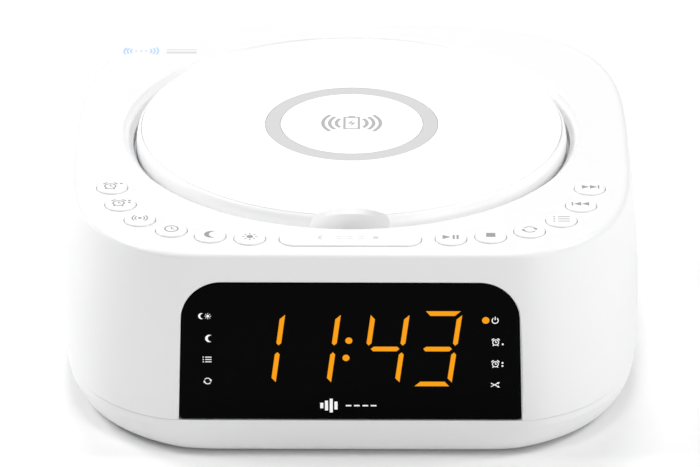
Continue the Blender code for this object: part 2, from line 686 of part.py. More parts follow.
def make_speakers():
    top = SPEAKER_Z + SPEAKER_HEIGHT
    for side, name in ((-1.0, "speaker_left"), (1.0, "speaker_right")):
        profile = [(0.0, top), (11.0, top), (11.0, top - 9.0), (14.0, top - 10.0),
                   (SPEAKER_RADIUS - 2.5, SPEAKER_Z + 2.5), (SPEAKER_RADIUS, SPEAKER_Z + 2.0),
                   (SPEAKER_RADIUS, SPEAKER_Z), (SPEAKER_RADIUS - 3.0, SPEAKER_Z),
                   (SPEAKER_RADIUS - 4.5, SPEAKER_Z + 1.2), (7.0, SPEAKER_Z + 8.0),
                   (0.0, SPEAKER_Z + 9.5)]
        turned(name, profile, BLACK, (side * SPEAKER_X, SPEAKER_Y), steps=24)


def make_main_board():
    board = box("main_board", (-42.0, -20.0, MAIN_BOARD_Z),
                (42.0, 97.0, MAIN_BOARD_Z + BOARD_THICKNESS), BOARD)
    foot = MAIN_BOARD_Z + BOARD_THICKNESS / 2
    blocks = [((-30.0, 0.0, foot), (-12.0, 16.0, foot + 12.0)),
              ((4.0, -8.0, foot), (24.0, 12.0, foot + 3.0)),
              ((-20.0, 40.0, foot), (20.0, 52.0, foot + 8.0))]
    return join(board, boxes("board_blocks", blocks))


def make_sockets():
    back, face = REAR_WALL_Y - 3.6, REAR_WALL_Y - 0.2
    foot = MAIN_BOARD_Z + BOARD_THICKNESS + GAP
    dc_jack = box("dc_jack", (DC_X - 4.6, back - 12.0, foot),
                  (DC_X + 4.6, back, JACK_Z + 4.8), BLACK)
    join(dc_jack, cylinder("dc_nose", (DC_X, back - 2.0, JACK_Z), 3.9, face - back + 2.0,
                           direction="Y"))
    bore = cylinder("dc_bore", (DC_X, back - 7.0, JACK_Z), 2.9, 20.0, direction="Y", segments=24)
    cut(bore, cylinder("dc_pin", (DC_X, back - 8.0, JACK_Z), 0.9, face - back + 6.5,
                       direction="Y", segments=16))
    cut(dc_jack, bore)

    aux_jack = box("aux_jack", (AUX_X - 4.0, back - 11.0, foot),
                   (AUX_X + 4.0, back, JACK_Z + 4.0), BLACK)
    join(aux_jack, cylinder("aux_nose", (AUX_X, back - 2.0, JACK_Z), 3.3, face - back + 2.0,
                            direction="Y"))
    cut(aux_jack, cylinder("aux_bore", (AUX_X, back - 9.0, JACK_Z), 1.8, 20.0, direction="Y",
                           segments=24))

    usb_port = box("usb_port", (USB_X - 6.6, back - 10.0, JACK_Z - 2.9),
                   (USB_X + 6.6, face, JACK_Z + 2.9), STEEL)
    room = box("usb_room", (USB_X - 6.0, back - 5.5, JACK_Z - 2.3),
               (USB_X + 6.0, face + 3.0, JACK_Z + 2.3))
    cut(room, box("usb_tongue", (USB_X - 5.4, back - 7.0, JACK_Z + 0.2),
                  (USB_X + 5.4, face - 1.0, JACK_Z + 1.8)))
    cut(usb_port, room)


def make_backup_cell():
    cell_z = FLOOR_Z + 2.8
    cylinder("backup_cell", (0.0, CELL_Y, cell_z), CELL_RADIUS, CELL_THICKNESS, STEEL)
    door = cylinder("battery_door", (0.0, CELL_Y, FLOOR_Z + 0.1), CELL_DOOR_RADIUS, 2.2, WHITE)
    cut(door, box("coin_slot", (-7.0, CELL_Y - 0.9, 0.0), (7.0, CELL_Y + 0.9, FLOOR_Z + 1.0)))
    return door


def make_lid_sensor():
    top = LEDGE_Z - WALL - GAP
    box("lid_sensor", (-66.0, LID_Y + 38.0, top - 4.0), (-58.5, LID_Y + 44.0, top), BLACK)


# ---------------------------------------------------------------- disc mechanism

def toothed_outline(centre, teeth, phase):
    """Outline of a spur gear with plain sloping teeth; phase turns it, in degrees."""
    pitch_radius = GEAR_MODULE * teeth / 2
    tip, root = pitch_radius + 0.6 * GEAR_MODULE, pitch_radius - 1.1 * GEAR_MODULE
    step = 360.0 / teeth
    points = []
    for i in range(teeth):
        for share, radius in ((-0.30, root), (-0.12, tip), (0.12, tip), (0.30, root)):
            angle = math.radians(phase + step * (i + share))
            points.append((centre[0] + radius * math.cos(angle),
                           centre[1] + radius * math.sin(angle)))
    return points


def rack_outline(start_y, teeth):
    """The sled's toothed edge: teeth point to +X, the first one centred on start_y."""
    pitch = math.pi * GEAR_MODULE
    tip, root = RACK_X + 0.6 * GEAR_MODULE, RACK_X - 1.1 * GEAR_MODULE
    points = [(RACK_X - RACK_DEPTH, start_y - pitch / 2)]
    for i in range(teeth):
        y = start_y + pitch * i
        points += [(root, y - 0.30 * pitch), (tip, y - 0.12 * pitch),
                   (tip, y + 0.12 * pitch), (root, y + 0.30 * pitch)]
    points.append((RACK_X - RACK_DEPTH, start_y + pitch * (teeth - 0.5)))
    return points


def gear_centre():
    return RACK_X + GEAR_MODULE * SMALL_TEETH / 2, LID_Y + GEAR_Y


def pinion_centre():
    reach = GEAR_MODULE * (LARGE_TEETH + PINION_TEETH) / 2
    angle = math.radians(PINION_DIRECTION)
    x, y = gear_centre()
    return x + reach * math.cos(angle), y + reach * math.sin(angle)


def make_chassis():
    outline = [(-50.0, 26.0), (-50.0, -76.0), (50.0, -76.0), (50.0, -50.0), (63.0, -44.0),
               (63.0, -14.0), (50.0, -8.0), (50.0, 26.0)]
    outline = [(x, y + LID_Y) for x, y in outline]
    top = CHASSIS_Z + CHASSIS_THICKNESS
    chassis = plate("mechanism_chassis", outline, CHASSIS_Z, top, STEEL)
    blocks = []
    for middle in (-ROD_X, ROD_X):
        for y in (-12.5, -76.0):
            blocks.append(((middle - 3.5, LID_Y + y, ROD_Z - 3.5),
                           (middle + 3.5, LID_Y + y + 4.0, top - 1.0)))
    join(chassis, boxes("rod_blocks", blocks))
    x, y = gear_centre()
    join(chassis, cylinder("gear_post", (x, y, 39.0), 1.5, top - 40.0, segments=20))
    cut(chassis, box("sled_window", (-26.0, LID_Y - 71.5, 40.0),
                     (RACK_X + 1.0, LID_Y - 13.0, 60.0)))
    rods = bmesh.new()
    for side in (-1.0, 1.0):
        add_cylinder(rods, (side * ROD_X, LID_Y - 75.0, ROD_Z), ROD_RADIUS + GAP, 66.0, "Y", 24)
    cut(chassis, to_mesh("rod_bores", rods, None))
    cut(chassis, cylinder("spindle_hole", (0.0, LID_Y, 40.0), 4.5, 15.0))
    x, y = pinion_centre()
    cut(chassis, cylinder("pinion_hole", (x, y, 40.0), 2.2, 15.0))
    return chassis


def make_guide_rods():
    for side, name in ((-1.0, "guide_rod_left"), (1.0, "guide_rod_right")):
        cylinder(name, (side * ROD_X, LID_Y - 74.7, ROD_Z), ROD_RADIUS, 65.4, STEEL,
                 direction="Y", segments=20)


def make_spindle():
    motor = [(0.0, 63.6), (1.0, 63.6), (1.0, CHASSIS_Z - GAP), (12.0, CHASSIS_Z - GAP),
             (12.0, 38.0), (0.0, 38.0)]
    turned("spindle_motor", motor, STEEL, (0.0, LID_Y), steps=24)
    seat = DISC_SEAT_Z
    hub = [(0.0, seat + 4.0), (5.4, seat + 4.0), (7.2, seat + 2.2), (7.2, seat), (13.0, seat),
           (13.0, seat - 2.0), (5.0, seat - 2.0), (4.0, seat - 5.0), (1.3, seat - 5.0),
           (1.3, seat - 1.6), (0.0, seat - 1.6)]
    turned("turntable_hub", hub, BLACK, (0.0, LID_Y), steps=24)


def make_pickup():
    """The laser sled at its rest place next to the hub."""
    lens_y = LID_Y - SLED_REST_RADIUS
    low, high = ROD_Z - 3.1, CHASSIS_Z + CHASSIS_THICKNESS
    sled = box("laser_pickup", (-25.2, lens_y - 14.0, low),
               (RACK_X - 2.2, lens_y + 10.0, high), BLACK)
    join(sled, box("pickup_head", (-7.0, lens_y - 7.0, high - 1.0), (7.0, lens_y + 7.0, 61.5)))
    join(sled, cylinder("pickup_lens", (0.0, lens_y, 61.0), 3.0, 2.4, segments=24))
    pitch = math.pi * GEAR_MODULE
    start = LID_Y + GEAR_Y - 2.0 * pitch
    join(sled, plate("sled_rack", rack_outline(start, RACK_TEETH), ROD_Z - 2.8, ROD_Z + 0.6))
    bores = bmesh.new()
    for side in (-1.0, 1.0):
        add_cylinder(bores, (side * ROD_X, lens_y - 20.0, ROD_Z), ROD_RADIUS + GAP, 40.0, "Y", 24)
    return cut(sled, to_mesh("sled_bores", bores, None))


def make_sled_drive():
    x, y = gear_centre()
    small = plate("sled_gear", toothed_outline((x, y), SMALL_TEETH, 180.0 - 180.0 / SMALL_TEETH),
                  ROD_Z - 3.6, ROD_Z + 0.8, GEAR)
    join(small, plate("large_wheel", toothed_outline((x, y), LARGE_TEETH, PINION_DIRECTION),
                      ROD_Z - 6.4, ROD_Z - 3.9 + 0.5))
    cut(small, cylinder("gear_bore", (x, y, 30.0), 1.8, 30.0, segments=24))

    px, py = pinion_centre()
    facing = PINION_DIRECTION + 180.0 + 180.0 / PINION_TEETH
    pinion = plate("sled_pinion", toothed_outline((px, py), PINION_TEETH, facing),
                   ROD_Z - 6.4, ROD_Z - 4.0, GEAR)
    join(pinion, cylinder("pinion_shaft", (px, py, ROD_Z - 5.0), 1.2, 8.6, segments=16))
    motor_z = CHASSIS_Z + CHASSIS_THICKNESS + GAP
    cylinder("sled_motor", (px, py, motor_z), 8.0, 9.0, STEEL, segments=28)


def make_isolators():
    low = CHASSIS_Z + CHASSIS_THICKNESS + GAP
    high = WELL_FLOOR_Z - WALL - GAP
    names = ["isolator_front", "isolator_rear_left", "isolator_rear_right"]
    for name, (x, y) in zip(names, ISOLATORS):
        waist = (low + high) / 2
        profile = [(0.0, high), (4.5, high), (3.4, waist + 1.2), (3.4, waist - 1.2), (4.5, low),
                   (0.0, low)]
        turned(name, profile, RUBBER, (x, LID_Y + y), steps=14)


make_upper_case()
make_base_case()
make_display_window()
make_feet()
make_screws()
make_lid_cover()
make_lid_liner()
make_hinge_pins()
make_charger()
make_buttons()
make_key_board()
make_display()
make_speakers()
make_main_board()
make_sockets()
make_backup_cell()
make_lid_sensor()
make_chassis()
make_guide_rods()
make_spindle()
make_pickup()
make_sled_drive()
make_isolators()
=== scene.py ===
"""Looks of the disc clock radio: fine surfaces, materials, studio light and camera.

Lengths are in millimetres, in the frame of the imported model, and become metres in the meshes.
Only the camera, the lights and the floor are placed in metres.
"""
from math import cos, exp, log1p, pi, radians, sin, sqrt, tan

import bmesh
import bpy
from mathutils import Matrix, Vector


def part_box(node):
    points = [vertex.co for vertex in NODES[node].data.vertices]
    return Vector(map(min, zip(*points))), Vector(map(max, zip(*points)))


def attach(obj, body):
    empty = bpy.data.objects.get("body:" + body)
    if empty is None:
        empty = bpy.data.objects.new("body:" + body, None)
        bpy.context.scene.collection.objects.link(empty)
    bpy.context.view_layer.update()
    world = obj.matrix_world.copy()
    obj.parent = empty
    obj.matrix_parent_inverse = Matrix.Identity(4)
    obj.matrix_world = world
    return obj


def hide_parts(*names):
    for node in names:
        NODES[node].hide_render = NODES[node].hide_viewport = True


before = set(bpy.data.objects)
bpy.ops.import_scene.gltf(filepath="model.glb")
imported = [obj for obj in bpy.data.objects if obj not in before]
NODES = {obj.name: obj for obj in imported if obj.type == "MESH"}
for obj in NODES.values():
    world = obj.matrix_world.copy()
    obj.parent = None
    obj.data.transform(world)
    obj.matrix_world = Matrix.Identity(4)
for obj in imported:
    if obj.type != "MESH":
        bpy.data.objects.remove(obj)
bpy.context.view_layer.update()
scene = bpy.context.scene

MM = 0.001
MERGE_DISTANCE = 0.000001       # in metres
GAP = 0.3                       # running gap between pieces that nearly touch

# Camera and studio: places and sizes in metres, angles in degrees, power in watts
CAMERA_PLACE, CAMERA_REACH = (0.0082, -1.7382, 0.8892), 100.0
CAMERA_DIP, CAMERA_TURN = 26.044, 0.29
CAMERA_LENS, CAMERA_SENSOR = 265.4, 36.0        # in mm
WORLD_STRENGTH = 0.2
FLOOR_REACH = 8.0
LIGHT_TARGET = Vector((0.0, 0.0, 0.03))
LIGHTS = [("over_front", (0.0, -0.6, 2.3), (0.5, 0.5), 8.9),      # name, place, size, power
          ("over_rear", (0.0, 0.9, 2.2), (0.6, 0.6), 15.0),
          ("left_high", (-1.7, 0.0, 1.7), (0.5, 0.5), 16.0),
          ("left_rear_high", (-1.5, 0.9, 1.5), (0.5, 0.5), 15.0),
          ("right_high", (1.7, 0.0, 1.7), (0.5, 0.5), 19.0),
          ("left_rear_low", (-2.2, 1.0, 0.4), (1.2, 0.5), 5.5),
          ("left_side", (-2.4, 0.0, 0.4), (1.2, 0.5), 3.5),
          ("right_front", (1.6, -1.8, 0.5), (1.0, 0.5), 11.0),
          ("right_front_high", (1.3, -1.5, 1.3), (0.5, 0.5), 6.0)]

# Body: a rounded square that swells like a barrel, with its front cut flat for the display
TOP_Z, SEAM_Z, FLOOR_Z = 81.5, 15.3, 1.3
BODY_Y = -3.1
BODY_POWER = 3.46
HALF_WIDTH, HALF_DEPTH, FRONT = 106.4, 106.2, 103.4
FRONT_BLEND = 1.2
SIDE_FLARE, DEPTH_FLARE, FRONT_FLARE = 3.9, 1.8, 1.35
WIDEST_Z, FRONT_WIDEST_Z = 28.0, 40.0
EDGE_RADIUS = 2.4
WALL = 2.0
PANEL_ROOT_Z = TOP_Z - 1.0      # posts and cheeks grow out of the panel from here
OUTLINE_POINTS = 360
WALL_RINGS = 24
SEAM_EDGE, SEAM_GAP = 0.12, 0.15     # softening and width of the seam between the shells

# Lid, the dish around it and the disc well under it, all about one upright axis
LID_Y, LID_RADIUS = 3.3, 80.0
LID_AXIS = (0.0, LID_Y)
LID_TOP_Z, LID_RIM_Z = 83.68, 75.1
LID_EDGE_WIDTH, LID_EDGE_HEIGHT = 2.4, 6.0     # the rim is rounded over an ellipse
LID_LINE_RADIUS = 78.1          # fine line around the lid's top
LID_LINE_WIDTH, LID_LINE_DEPTH = 0.5, 0.9
DISH_GROOVE_DEPTH = 1.2         # groove in the ledge, right under the lid's rim
DISH_RADIUS, DISH_FOOT_RADIUS, DISH_FOOT_Z = 85.0, 81.2, 77.3
LEDGE_Z = 74.3
WELL_RADIUS, WELL_FLOOR_Z = 66.0, 62.5
WELL_PATCH_RADIUS = 20.0        # the well's floor is one flat face inside this radius
SPINDLE_HOLE_RADIUS, SPINDLE_HOLE_BEVEL = 15.0, 1.5
PICKUP_SLOT_Y = LID_Y - 34.75
PICKUP_SLOT_HALF_WIDTH, PICKUP_SLOT_HALF_LENGTH, PICKUP_SLOT_CORNER = 9.0, 29.75, 1.5
UNDER_WELL_Z = 55.0             # cutters for the well's floor start here
LINER_THICKNESS = 1.6
SCOOP_RADIUS, SCOOP_DEPTH = 23.0, 6.5
SCOOP_BEVEL, SCOOP_BEVEL_HEIGHT = 1.8, 1.8      # at the scoop's middle; it fades to the ends
SCOOP_END_X = 14.5              # where the scoop runs out into the lid's rim
RING_INNER, RING_OUTER, RING_GROOVE, RING_GAP = 26.6, 32.0, 0.6, 0.2
TURN_STEPS = 240

# Lid hinge
HINGE_Y, HINGE_Z = LID_Y + 87.5, 75.5
HINGE_ARM_X, HINGE_ARM_WIDTH = 20.0, 6.0
HINGE_PIN_RADIUS, HINGE_EYE_RADIUS = 1.5, 3.2
CHEEK_THICKNESS, CHEEK_FRONT_REACH, CHEEK_REAR_REACH, CHEEK_DROP = 2.0, 4.0, 5.0, 4.0
HINGE_SLOT_FRONT, HINGE_SLOT_REAR = LID_Y + 68.5, LID_Y + 84.0
HINGE_SLOT_SIDE_ROOM = 0.9
HINGE_SLOT_DEPTH, HINGE_SLOT_ROOF = 16.0, 1.4   # from the panel's face, and thickness left there

# Display window
WINDOW_HALF_WIDTH, WINDOW_TOP_Z, WINDOW_CORNER_RADIUS = 61.6, 70.35, 14.5
WINDOW_TAPER = 0.0005           # share of its width that the window loses per mm of height
WINDOW_BACK_Y, WINDOW_CUT_Y = -100.6, -90.0     # back of the lens, and of its opening's cutter
WINDOW_BEVEL = 0.45             # softened edge of the opening
DISPLAY_GAP = 0.4
LENS_SET_BACK = 0.4             # lens face behind the wall's surface
LENS_EDGE, LENS_FOOT_CORNER, LENS_RINGS = 0.35, 1.2, 24
WINDOW_CORNER_POINTS = 17
DIGIT_MIDDLE_Z, DIGIT_SLANT = 44.3, 0.13
DIGITS = [(-31.8, ["upper_right", "lower_right"]),      # middle of each digit and its lit bars
          (-12.0, ["upper_right", "lower_right"]),
          (12.45, ["upper_left", "upper_right", "middle", "lower_right"]),
          (31.15, ["top", "upper_right", "middle", "lower_right", "bottom"])]
COLON, COLON_RADIUS = [(-0.5, 47.6), (-1.5, 40.7)], 1.25
POWER_DOT, POWER_DOT_RADIUS = (48.2, 55.7), 1.3

# Buttons
BUTTON_RADIUS, BUTTON_HOLE_GAP, BUTTON_HOLE_BEVEL = 5.6, 0.19, 0.12
BUTTON_PROUD, BUTTON_EDGE_WIDTH, BUTTON_EDGE_HEIGHT = 0.8, 1.15, 0.78
BUTTON_ICON_SIZE = 2.75
BUTTON_FLANGE, BUTTON_STEM_RADIUS, BUTTON_STEM_Z = 1.0, 1.6, 75.6
BUTTON_ROW_HALF_WIDTH, BUTTON_ROW_HALF_DEPTH, BUTTON_ROW_POWER = 88.5, 90.3, 4.0
BUTTON_FIRST_ANGLE, BUTTON_ANGLE_STEP = 21.75, 7.85
SNOOZE_HALF_LENGTH = 25.3
LEFT_BUTTONS = ["brightness", "sleep", "clock", "mode", "alarm_two", "alarm_one"]
RIGHT_BUTTONS = ["play_pause", "stop", "repeat", "program", "previous", "next"]

# Fixings, base, sockets
CORNERS = ["front_right", "front_left", "rear_right", "rear_left"]
POSTS = [(58.0, -68.0), (-58.0, -68.0), (62.0, 78.0), (-62.0, 78.0)]
POST_RADIUS, POST_FOOT_Z, BASE_POST_RADIUS = 4.0, 16.6, 5.0
BOARD_POSTS = [(-38.0, -14.0), (-38.0, 90.0), (38.0, -14.0), (38.0, 90.0)]
BOARD_POST_RADIUS = 3.0
SCREW_SHANK_RADIUS, SCREW_HEAD_RADIUS = 1.3, 2.8
SCREW_HEAD_Z, SCREW_HEAD_HEIGHT, SCREW_LENGTH = 6.4, 1.8, 20.0
PILOT_DEPTH = 14.0
UNDERSIDE_ROOM = 0.4            # around the screw heads and the battery door
UNDERSIDE_BEVEL = 1.0           # at the mouths of their holes
BASE_WALL, BASE_POWER, BASE_TURN_Z = 2.2, 3.0, 12.8
BASE_INSET, BASE_CURVE_REACH = 0.2, 3.8
FOOT_RADIUS, FOOT_RECESS = 7.0, 0.8
FEET = [(70.0, -74.0), (-70.0, -74.0), (70.0, 66.0), (-70.0, 66.0)]
SPEAKER_X, SPEAKER_Y, SPEAKER_RADIUS = 66.0, 0.0, 25.0
GRILLE_SLOTS, GRILLE_PITCH, GRILLE_SLOT_WIDTH = 7, 5.0, 2.2
MAIN_BOARD_Z = 18.0
CELL_Y, CELL_DOOR_RADIUS, CELL_COLLAR, CELL_COLLAR_HEIGHT = 66.0, 12.0, 2.4, 8.0
JACK_Z, JACK_CUT_LENGTH = 26.0, 12.0
DC_X, AUX_X, USB_X = -30.0, -8.0, 16.0
DC_HOLE_RADIUS, AUX_HOLE_RADIUS = 4.3, 3.7
USB_HALF_WIDTH, USB_HALF_HEIGHT, USB_CORNER = 7.0, 3.3, 1.0
REAR_WALL_Y = 103.0
DISC_SEAT_Z = 66.0
PICKUP_LENS_Y = LID_Y - 24.0
PICKUP_LENS_RADIUS, PICKUP_LENS_RISE, PICKUP_LENS_SINK = 2.2, 0.5, 0.05

PRINT_HEIGHT = 0.012            # thickness of printed marks on flat faces
LENS_PRINT_HEIGHT = 0.07        # the same on the lens, whose face bulges a little
PRINT_STEP = 0.0008             # each stroke of a mark lies this much above the one before


# -------- camera, light and floor

def add_camera():
    data = bpy.data.cameras.new("camera")
    data.lens = CAMERA_LENS
    data.sensor_width = CAMERA_SENSOR
    data.clip_end = CAMERA_REACH
    camera = bpy.data.objects.new("camera", data)
    camera.location = CAMERA_PLACE
    camera.rotation_euler = (radians(90.0 - CAMERA_DIP), 0.0, radians(CAMERA_TURN))
    scene.collection.objects.link(camera)
    scene.camera = camera


def add_light(name, location, size, power):
    data = bpy.data.lights.new(name, "AREA")
    data.shape = "RECTANGLE"
    data.size, data.size_y = size
    data.energy = power
    light = bpy.data.objects.new(name, data)
    light.location = location
    light.rotation_euler = (LIGHT_TARGET - light.location).to_track_quat("-Z", "Y").to_euler()
    scene.collection.objects.link(light)


def put(node, values):
    for socket, value in values.items():
        node.inputs[socket].default_value = value


def add_studio():
    world = bpy.data.worlds.new("studio")
    world.use_nodes = True
    put(world.node_tree.nodes["Background"], {"Color": (1.0, 1.0, 1.0, 1.0),
                                              "Strength": WORLD_STRENGTH})
    scene.world = world
    scene.view_settings.view_transform = "Standard"
    for name, location, size, power in LIGHTS:
        add_light(name, location, size, power)
    floor_mesh = bpy.data.meshes.new("floor")
    reach = FLOOR_REACH
    floor_mesh.from_pydata([(-reach, -reach, 0.0), (reach, -reach, 0.0), (reach, reach, 0.0),
                            (-reach, reach, 0.0)], [], [(0, 1, 2, 3)])
    floor = bpy.data.objects.new("floor", floor_mesh)
    scene.collection.objects.link(floor)
    floor_mesh.materials.append(surface("studio_floor", (0.92, 0.92, 0.92), 0.7, specular=0.1,
                                        grain=2.0, relief=0.0, tone=0.01))


# -------- materials

TONE_PATCH, GLOSS_PATCH = 14.0, 4.0     # size of the patches where tone or gloss differs
NOISE_LOW, NOISE_HIGH = 0.3, 0.7        # range that the values of a noise mostly fill
RELIEF_STRENGTH = 0.6


def surface(name, color, roughness, metallic=0.0, specular=0.5, grain=0.5, relief=0.02,
            tone=0.02, spread=0.05, glow=None, grain_stretch=(1.0, 1.0, 1.0)):
    """A finish whose tone, gloss and fine relief vary a little, as moulded or rolled stock does.

    grain is the size of the fine relief and relief its height. tone and spread say how far the
    colour and the roughness go up and down. glow is a colour and a strength.
    """
    made = bpy.data.materials.new(name)
    made.use_nodes = True
    nodes, links = made.node_tree.nodes, made.node_tree.links
    shader = nodes["Principled BSDF"]
    place = nodes.new("ShaderNodeTexCoord")

    def noise(size, detail, stretch=(1.0, 1.0, 1.0)):
        mapping = nodes.new("ShaderNodeMapping")
        put(mapping, {"Scale": stretch})
        links.new(place.outputs["Object"], mapping.inputs["Vector"])
        made_noise = nodes.new("ShaderNodeTexNoise")
        put(made_noise, {"Scale": 1.0 / (size * MM), "Detail": detail})
        links.new(mapping.outputs["Vector"], made_noise.inputs["Vector"])
        return made_noise.outputs["Fac"]

    blend = nodes.new("ShaderNodeMix")
    blend.data_type = "RGBA"
    put(blend, {"A": (*[value * (1.0 - tone) for value in color], 1.0),
                "B": (*[min(1.0, value * (1.0 + tone)) for value in color], 1.0)})
    links.new(noise(TONE_PATCH, 3.0), blend.inputs["Factor"])
    links.new(blend.outputs["Result"], shader.inputs["Base Color"])

    gloss = nodes.new("ShaderNodeMapRange")
    put(gloss, {"From Min": NOISE_LOW, "From Max": NOISE_HIGH,
                "To Min": max(0.02, roughness - spread), "To Max": min(1.0, roughness + spread)})
    links.new(noise(GLOSS_PATCH, 4.0), gloss.inputs["Value"])
    links.new(gloss.outputs["Result"], shader.inputs["Roughness"])

    if relief > 0.0:
        bump = nodes.new("ShaderNodeBump")
        put(bump, {"Strength": RELIEF_STRENGTH, "Distance": relief * MM})
        links.new(noise(grain, 2.0, grain_stretch), bump.inputs["Height"])
        links.new(bump.outputs["Normal"], shader.inputs["Normal"])

    put(shader, {"Metallic": metallic, "Specular IOR Level": specular})
    if glow is not None:
        put(shader, {"Emission Color": (*glow[0], 1.0), "Emission Strength": glow[1]})
    return made


def ink(name, color):
    return surface(name, color, 0.5, specular=0.2, relief=0.0)


CASE_WHITE = surface("case_white", (0.80, 0.80, 0.805), 0.36, grain=6.0, relief=0.004,
                     tone=0.006)
LID_WHITE = surface("lid_white", (0.92, 0.92, 0.925), 0.34, grain=8.0, relief=0.003,
                    tone=0.005, spread=0.035)
KEY_WHITE = surface("key_white", (0.86, 0.86, 0.86), 0.35, grain=3.0, relief=0.002,
                    tone=0.006, spread=0.035)
WELL_WHITE = surface("liner_white", (0.70, 0.70, 0.71), 0.5, grain=0.5, relief=0.012)
LENS_BLACK = surface("smoked_lens", (0.0012, 0.0012, 0.0013), 0.10, specular=0.02, grain=9.0,
                     relief=0.001, spread=0.03)
AMBER_LIT = surface("amber_lit", (0.02, 0.008, 0.001), 0.5, specular=0.0, relief=0.0,
                    glow=((0.956, 0.352, 0.0097), 1.0))
AMBER_PANEL = surface("amber_panel", (0.45, 0.20, 0.03), 0.4)
MARK_WHITE = surface("mark_white", (0.80, 0.80, 0.80), 0.5, specular=0.1, relief=0.0,
                     glow=((1.0, 1.0, 1.0), 0.25))
PRINT_GREY = ink("print_grey", (0.30, 0.30, 0.31))
PRINT_PALE = ink("print_pale", (0.40, 0.40, 0.41))
PRINT_BLUE = ink("print_blue", (0.40, 0.56, 0.78))
PRINT_FAINT = ink("print_faint", (0.58, 0.58, 0.585))
RING_GREY = surface("ring_silicone", (0.555, 0.555, 0.558), 0.55, specular=0.2, grain=2.0,
                    relief=0.003, tone=0.008)
RUBBER = surface("foot_rubber", (0.035, 0.035, 0.037), 0.75, grain=0.4, relief=0.03)
STEEL = surface("steel", (0.56, 0.56, 0.58), 0.3, metallic=1.0, grain=0.4, relief=0.004,
                grain_stretch=(1.0, 8.0, 1.0))
COPPER = surface("copper_wire", (0.72, 0.36, 0.18), 0.35, metallic=1.0, grain=0.5,
                 relief=0.05, grain_stretch=(0.1, 0.1, 8.0))
BOARD_GREEN = surface("board_green", (0.03, 0.16, 0.07), 0.42, grain=1.6, relief=0.03,
                      tone=0.15)
BLACK_PLASTIC = surface("black_plastic", (0.022, 0.022, 0.025), 0.42, grain=0.4,
                        relief=0.012)
FERRITE = surface("ferrite", (0.10, 0.10, 0.11), 0.7, grain=0.6, relief=0.03)
GEAR_PLASTIC = surface("gear_plastic", (0.74, 0.71, 0.62), 0.45)
LASER_GLASS = surface("laser_glass", (0.02, 0.03, 0.10), 0.06, specular=0.8, relief=0.0)


# -------- mesh helpers

def arc(centre, radius, start, end, count):
    points = []
    for i in range(count):
        angle = radians(start + (end - start) * i / (count - 1))
        points.append((centre[0] + radius * cos(angle), centre[1] + radius * sin(angle)))
    return points


def quarter(count):
    """(inset, drop) steps, in radii, from a wall up over its rounded edge."""
    turns = [radians(90.0 * i / count) for i in range(count + 1)]
    return [(1.0 - cos(turn), 1.0 - sin(turn)) for turn in turns]


def rounded(points, radii, count=6):
    """The line through points with its inner corners rounded; a radius of 0 leaves one sharp."""
    made = [tuple(points[0])]
    for before, corner, after, radius in zip(points, points[1:], points[2:], radii):
        if radius == 0.0:
            made.append(tuple(corner))
            continue
        corner = Vector(corner)
        back = (Vector(before) - corner).normalized()
        ahead = (Vector(after) - corner).normalized()
        half = back.angle(ahead) / 2.0
        centre = corner + (back + ahead).normalized() * radius / sin(half)
        start = corner + back * radius / tan(half) - centre
        end = corner + ahead * radius / tan(half) - centre
        for i in range(count + 1):
            made.append(tuple(centre + start.lerp(end, i / count).normalized() * radius))
    made.append(tuple(points[-1]))
    return made


def at_height(points, z):
    return [(x, y, z) for x, y in points]


def add_loft(bm, rings, capped=True, closed=False):
    """Skin rings of equally many points, with a face over each end or joined into a loop."""
    rows = [[bm.verts.new(Vector(point) * MM) for point in ring] for ring in rings]
    if closed:
        rows.append(rows[0])
    for lower, upper in zip(rows, rows[1:]):
        for i in range(len(lower)):
            j = (i + 1) % len(lower)
            bm.faces.new((lower[i], lower[j], upper[j], upper[i]))
    if capped:
        bm.faces.new(rows[0][::-1])
        bm.faces.new(rows[-1])
    return bm


def disc(u, v, radius, count=28):
    return [(u + radius * cos(2.0 * pi * i / count),
             v + radius * sin(2.0 * pi * i / count)) for i in range(count)]


def circle(radius, z, centre, steps):
    return at_height(disc(*centre, radius, steps), z)


def add_turned(bm, profile, centre=LID_AXIS, steps=TURN_STEPS, closed=False):
    """Turn (radius, z) points about an upright axis; both ends lie on the axis unless closed."""
    return add_loft(bm, [circle(radius, z, centre, steps) for radius, z in profile], False, closed)


def add_box(bm, low, high):
    corners = [(low[0], low[1]), (high[0], low[1]), (high[0], high[1]), (low[0], high[1])]
    return add_loft(bm, [at_height(corners, low[2]), at_height(corners, high[2])])


def add_rod(bm, foot, radius, length, direction="Z", steps=64):
    """A cylinder that starts at foot and runs along +X, +Y or +Z."""
    turn = {"X": (2, 0, 1), "Y": (1, 2, 0), "Z": (0, 1, 2)}[direction]
    rings = []
    for along in (0.0, length):
        flat = circle(radius, along, (0.0, 0.0), steps)
        rings.append([tuple(point[turn[axis]] + foot[axis] for axis in range(3))
                      for point in flat])
    return add_loft(bm, rings)


def build(name, bm, merge=True):
    """A new object from bm, with doubled points merged and its faces turned outwards."""
    if merge:
        bmesh.ops.remove_doubles(bm, verts=bm.verts, dist=MERGE_DISTANCE)
    bmesh.ops.recalc_face_normals(bm, faces=bm.faces)
    mesh = bpy.data.meshes.new(name)
    bm.to_mesh(mesh)
    bm.free()
    made = bpy.data.objects.new(name, mesh)
    scene.collection.objects.link(made)
    return made


def combine(target, bm, operation):
    """Work bm out of target or onto it, and keep the result as plain mesh."""
    tool = build(target.name + "_tool", bm)
    step = target.modifiers.new("step", "BOOLEAN")
    step.operation = operation
    step.solver = "EXACT"
    step.object = tool
    settle(target)
    bpy.data.objects.remove(tool)


def cut(target, bm):
    combine(target, bm, "DIFFERENCE")


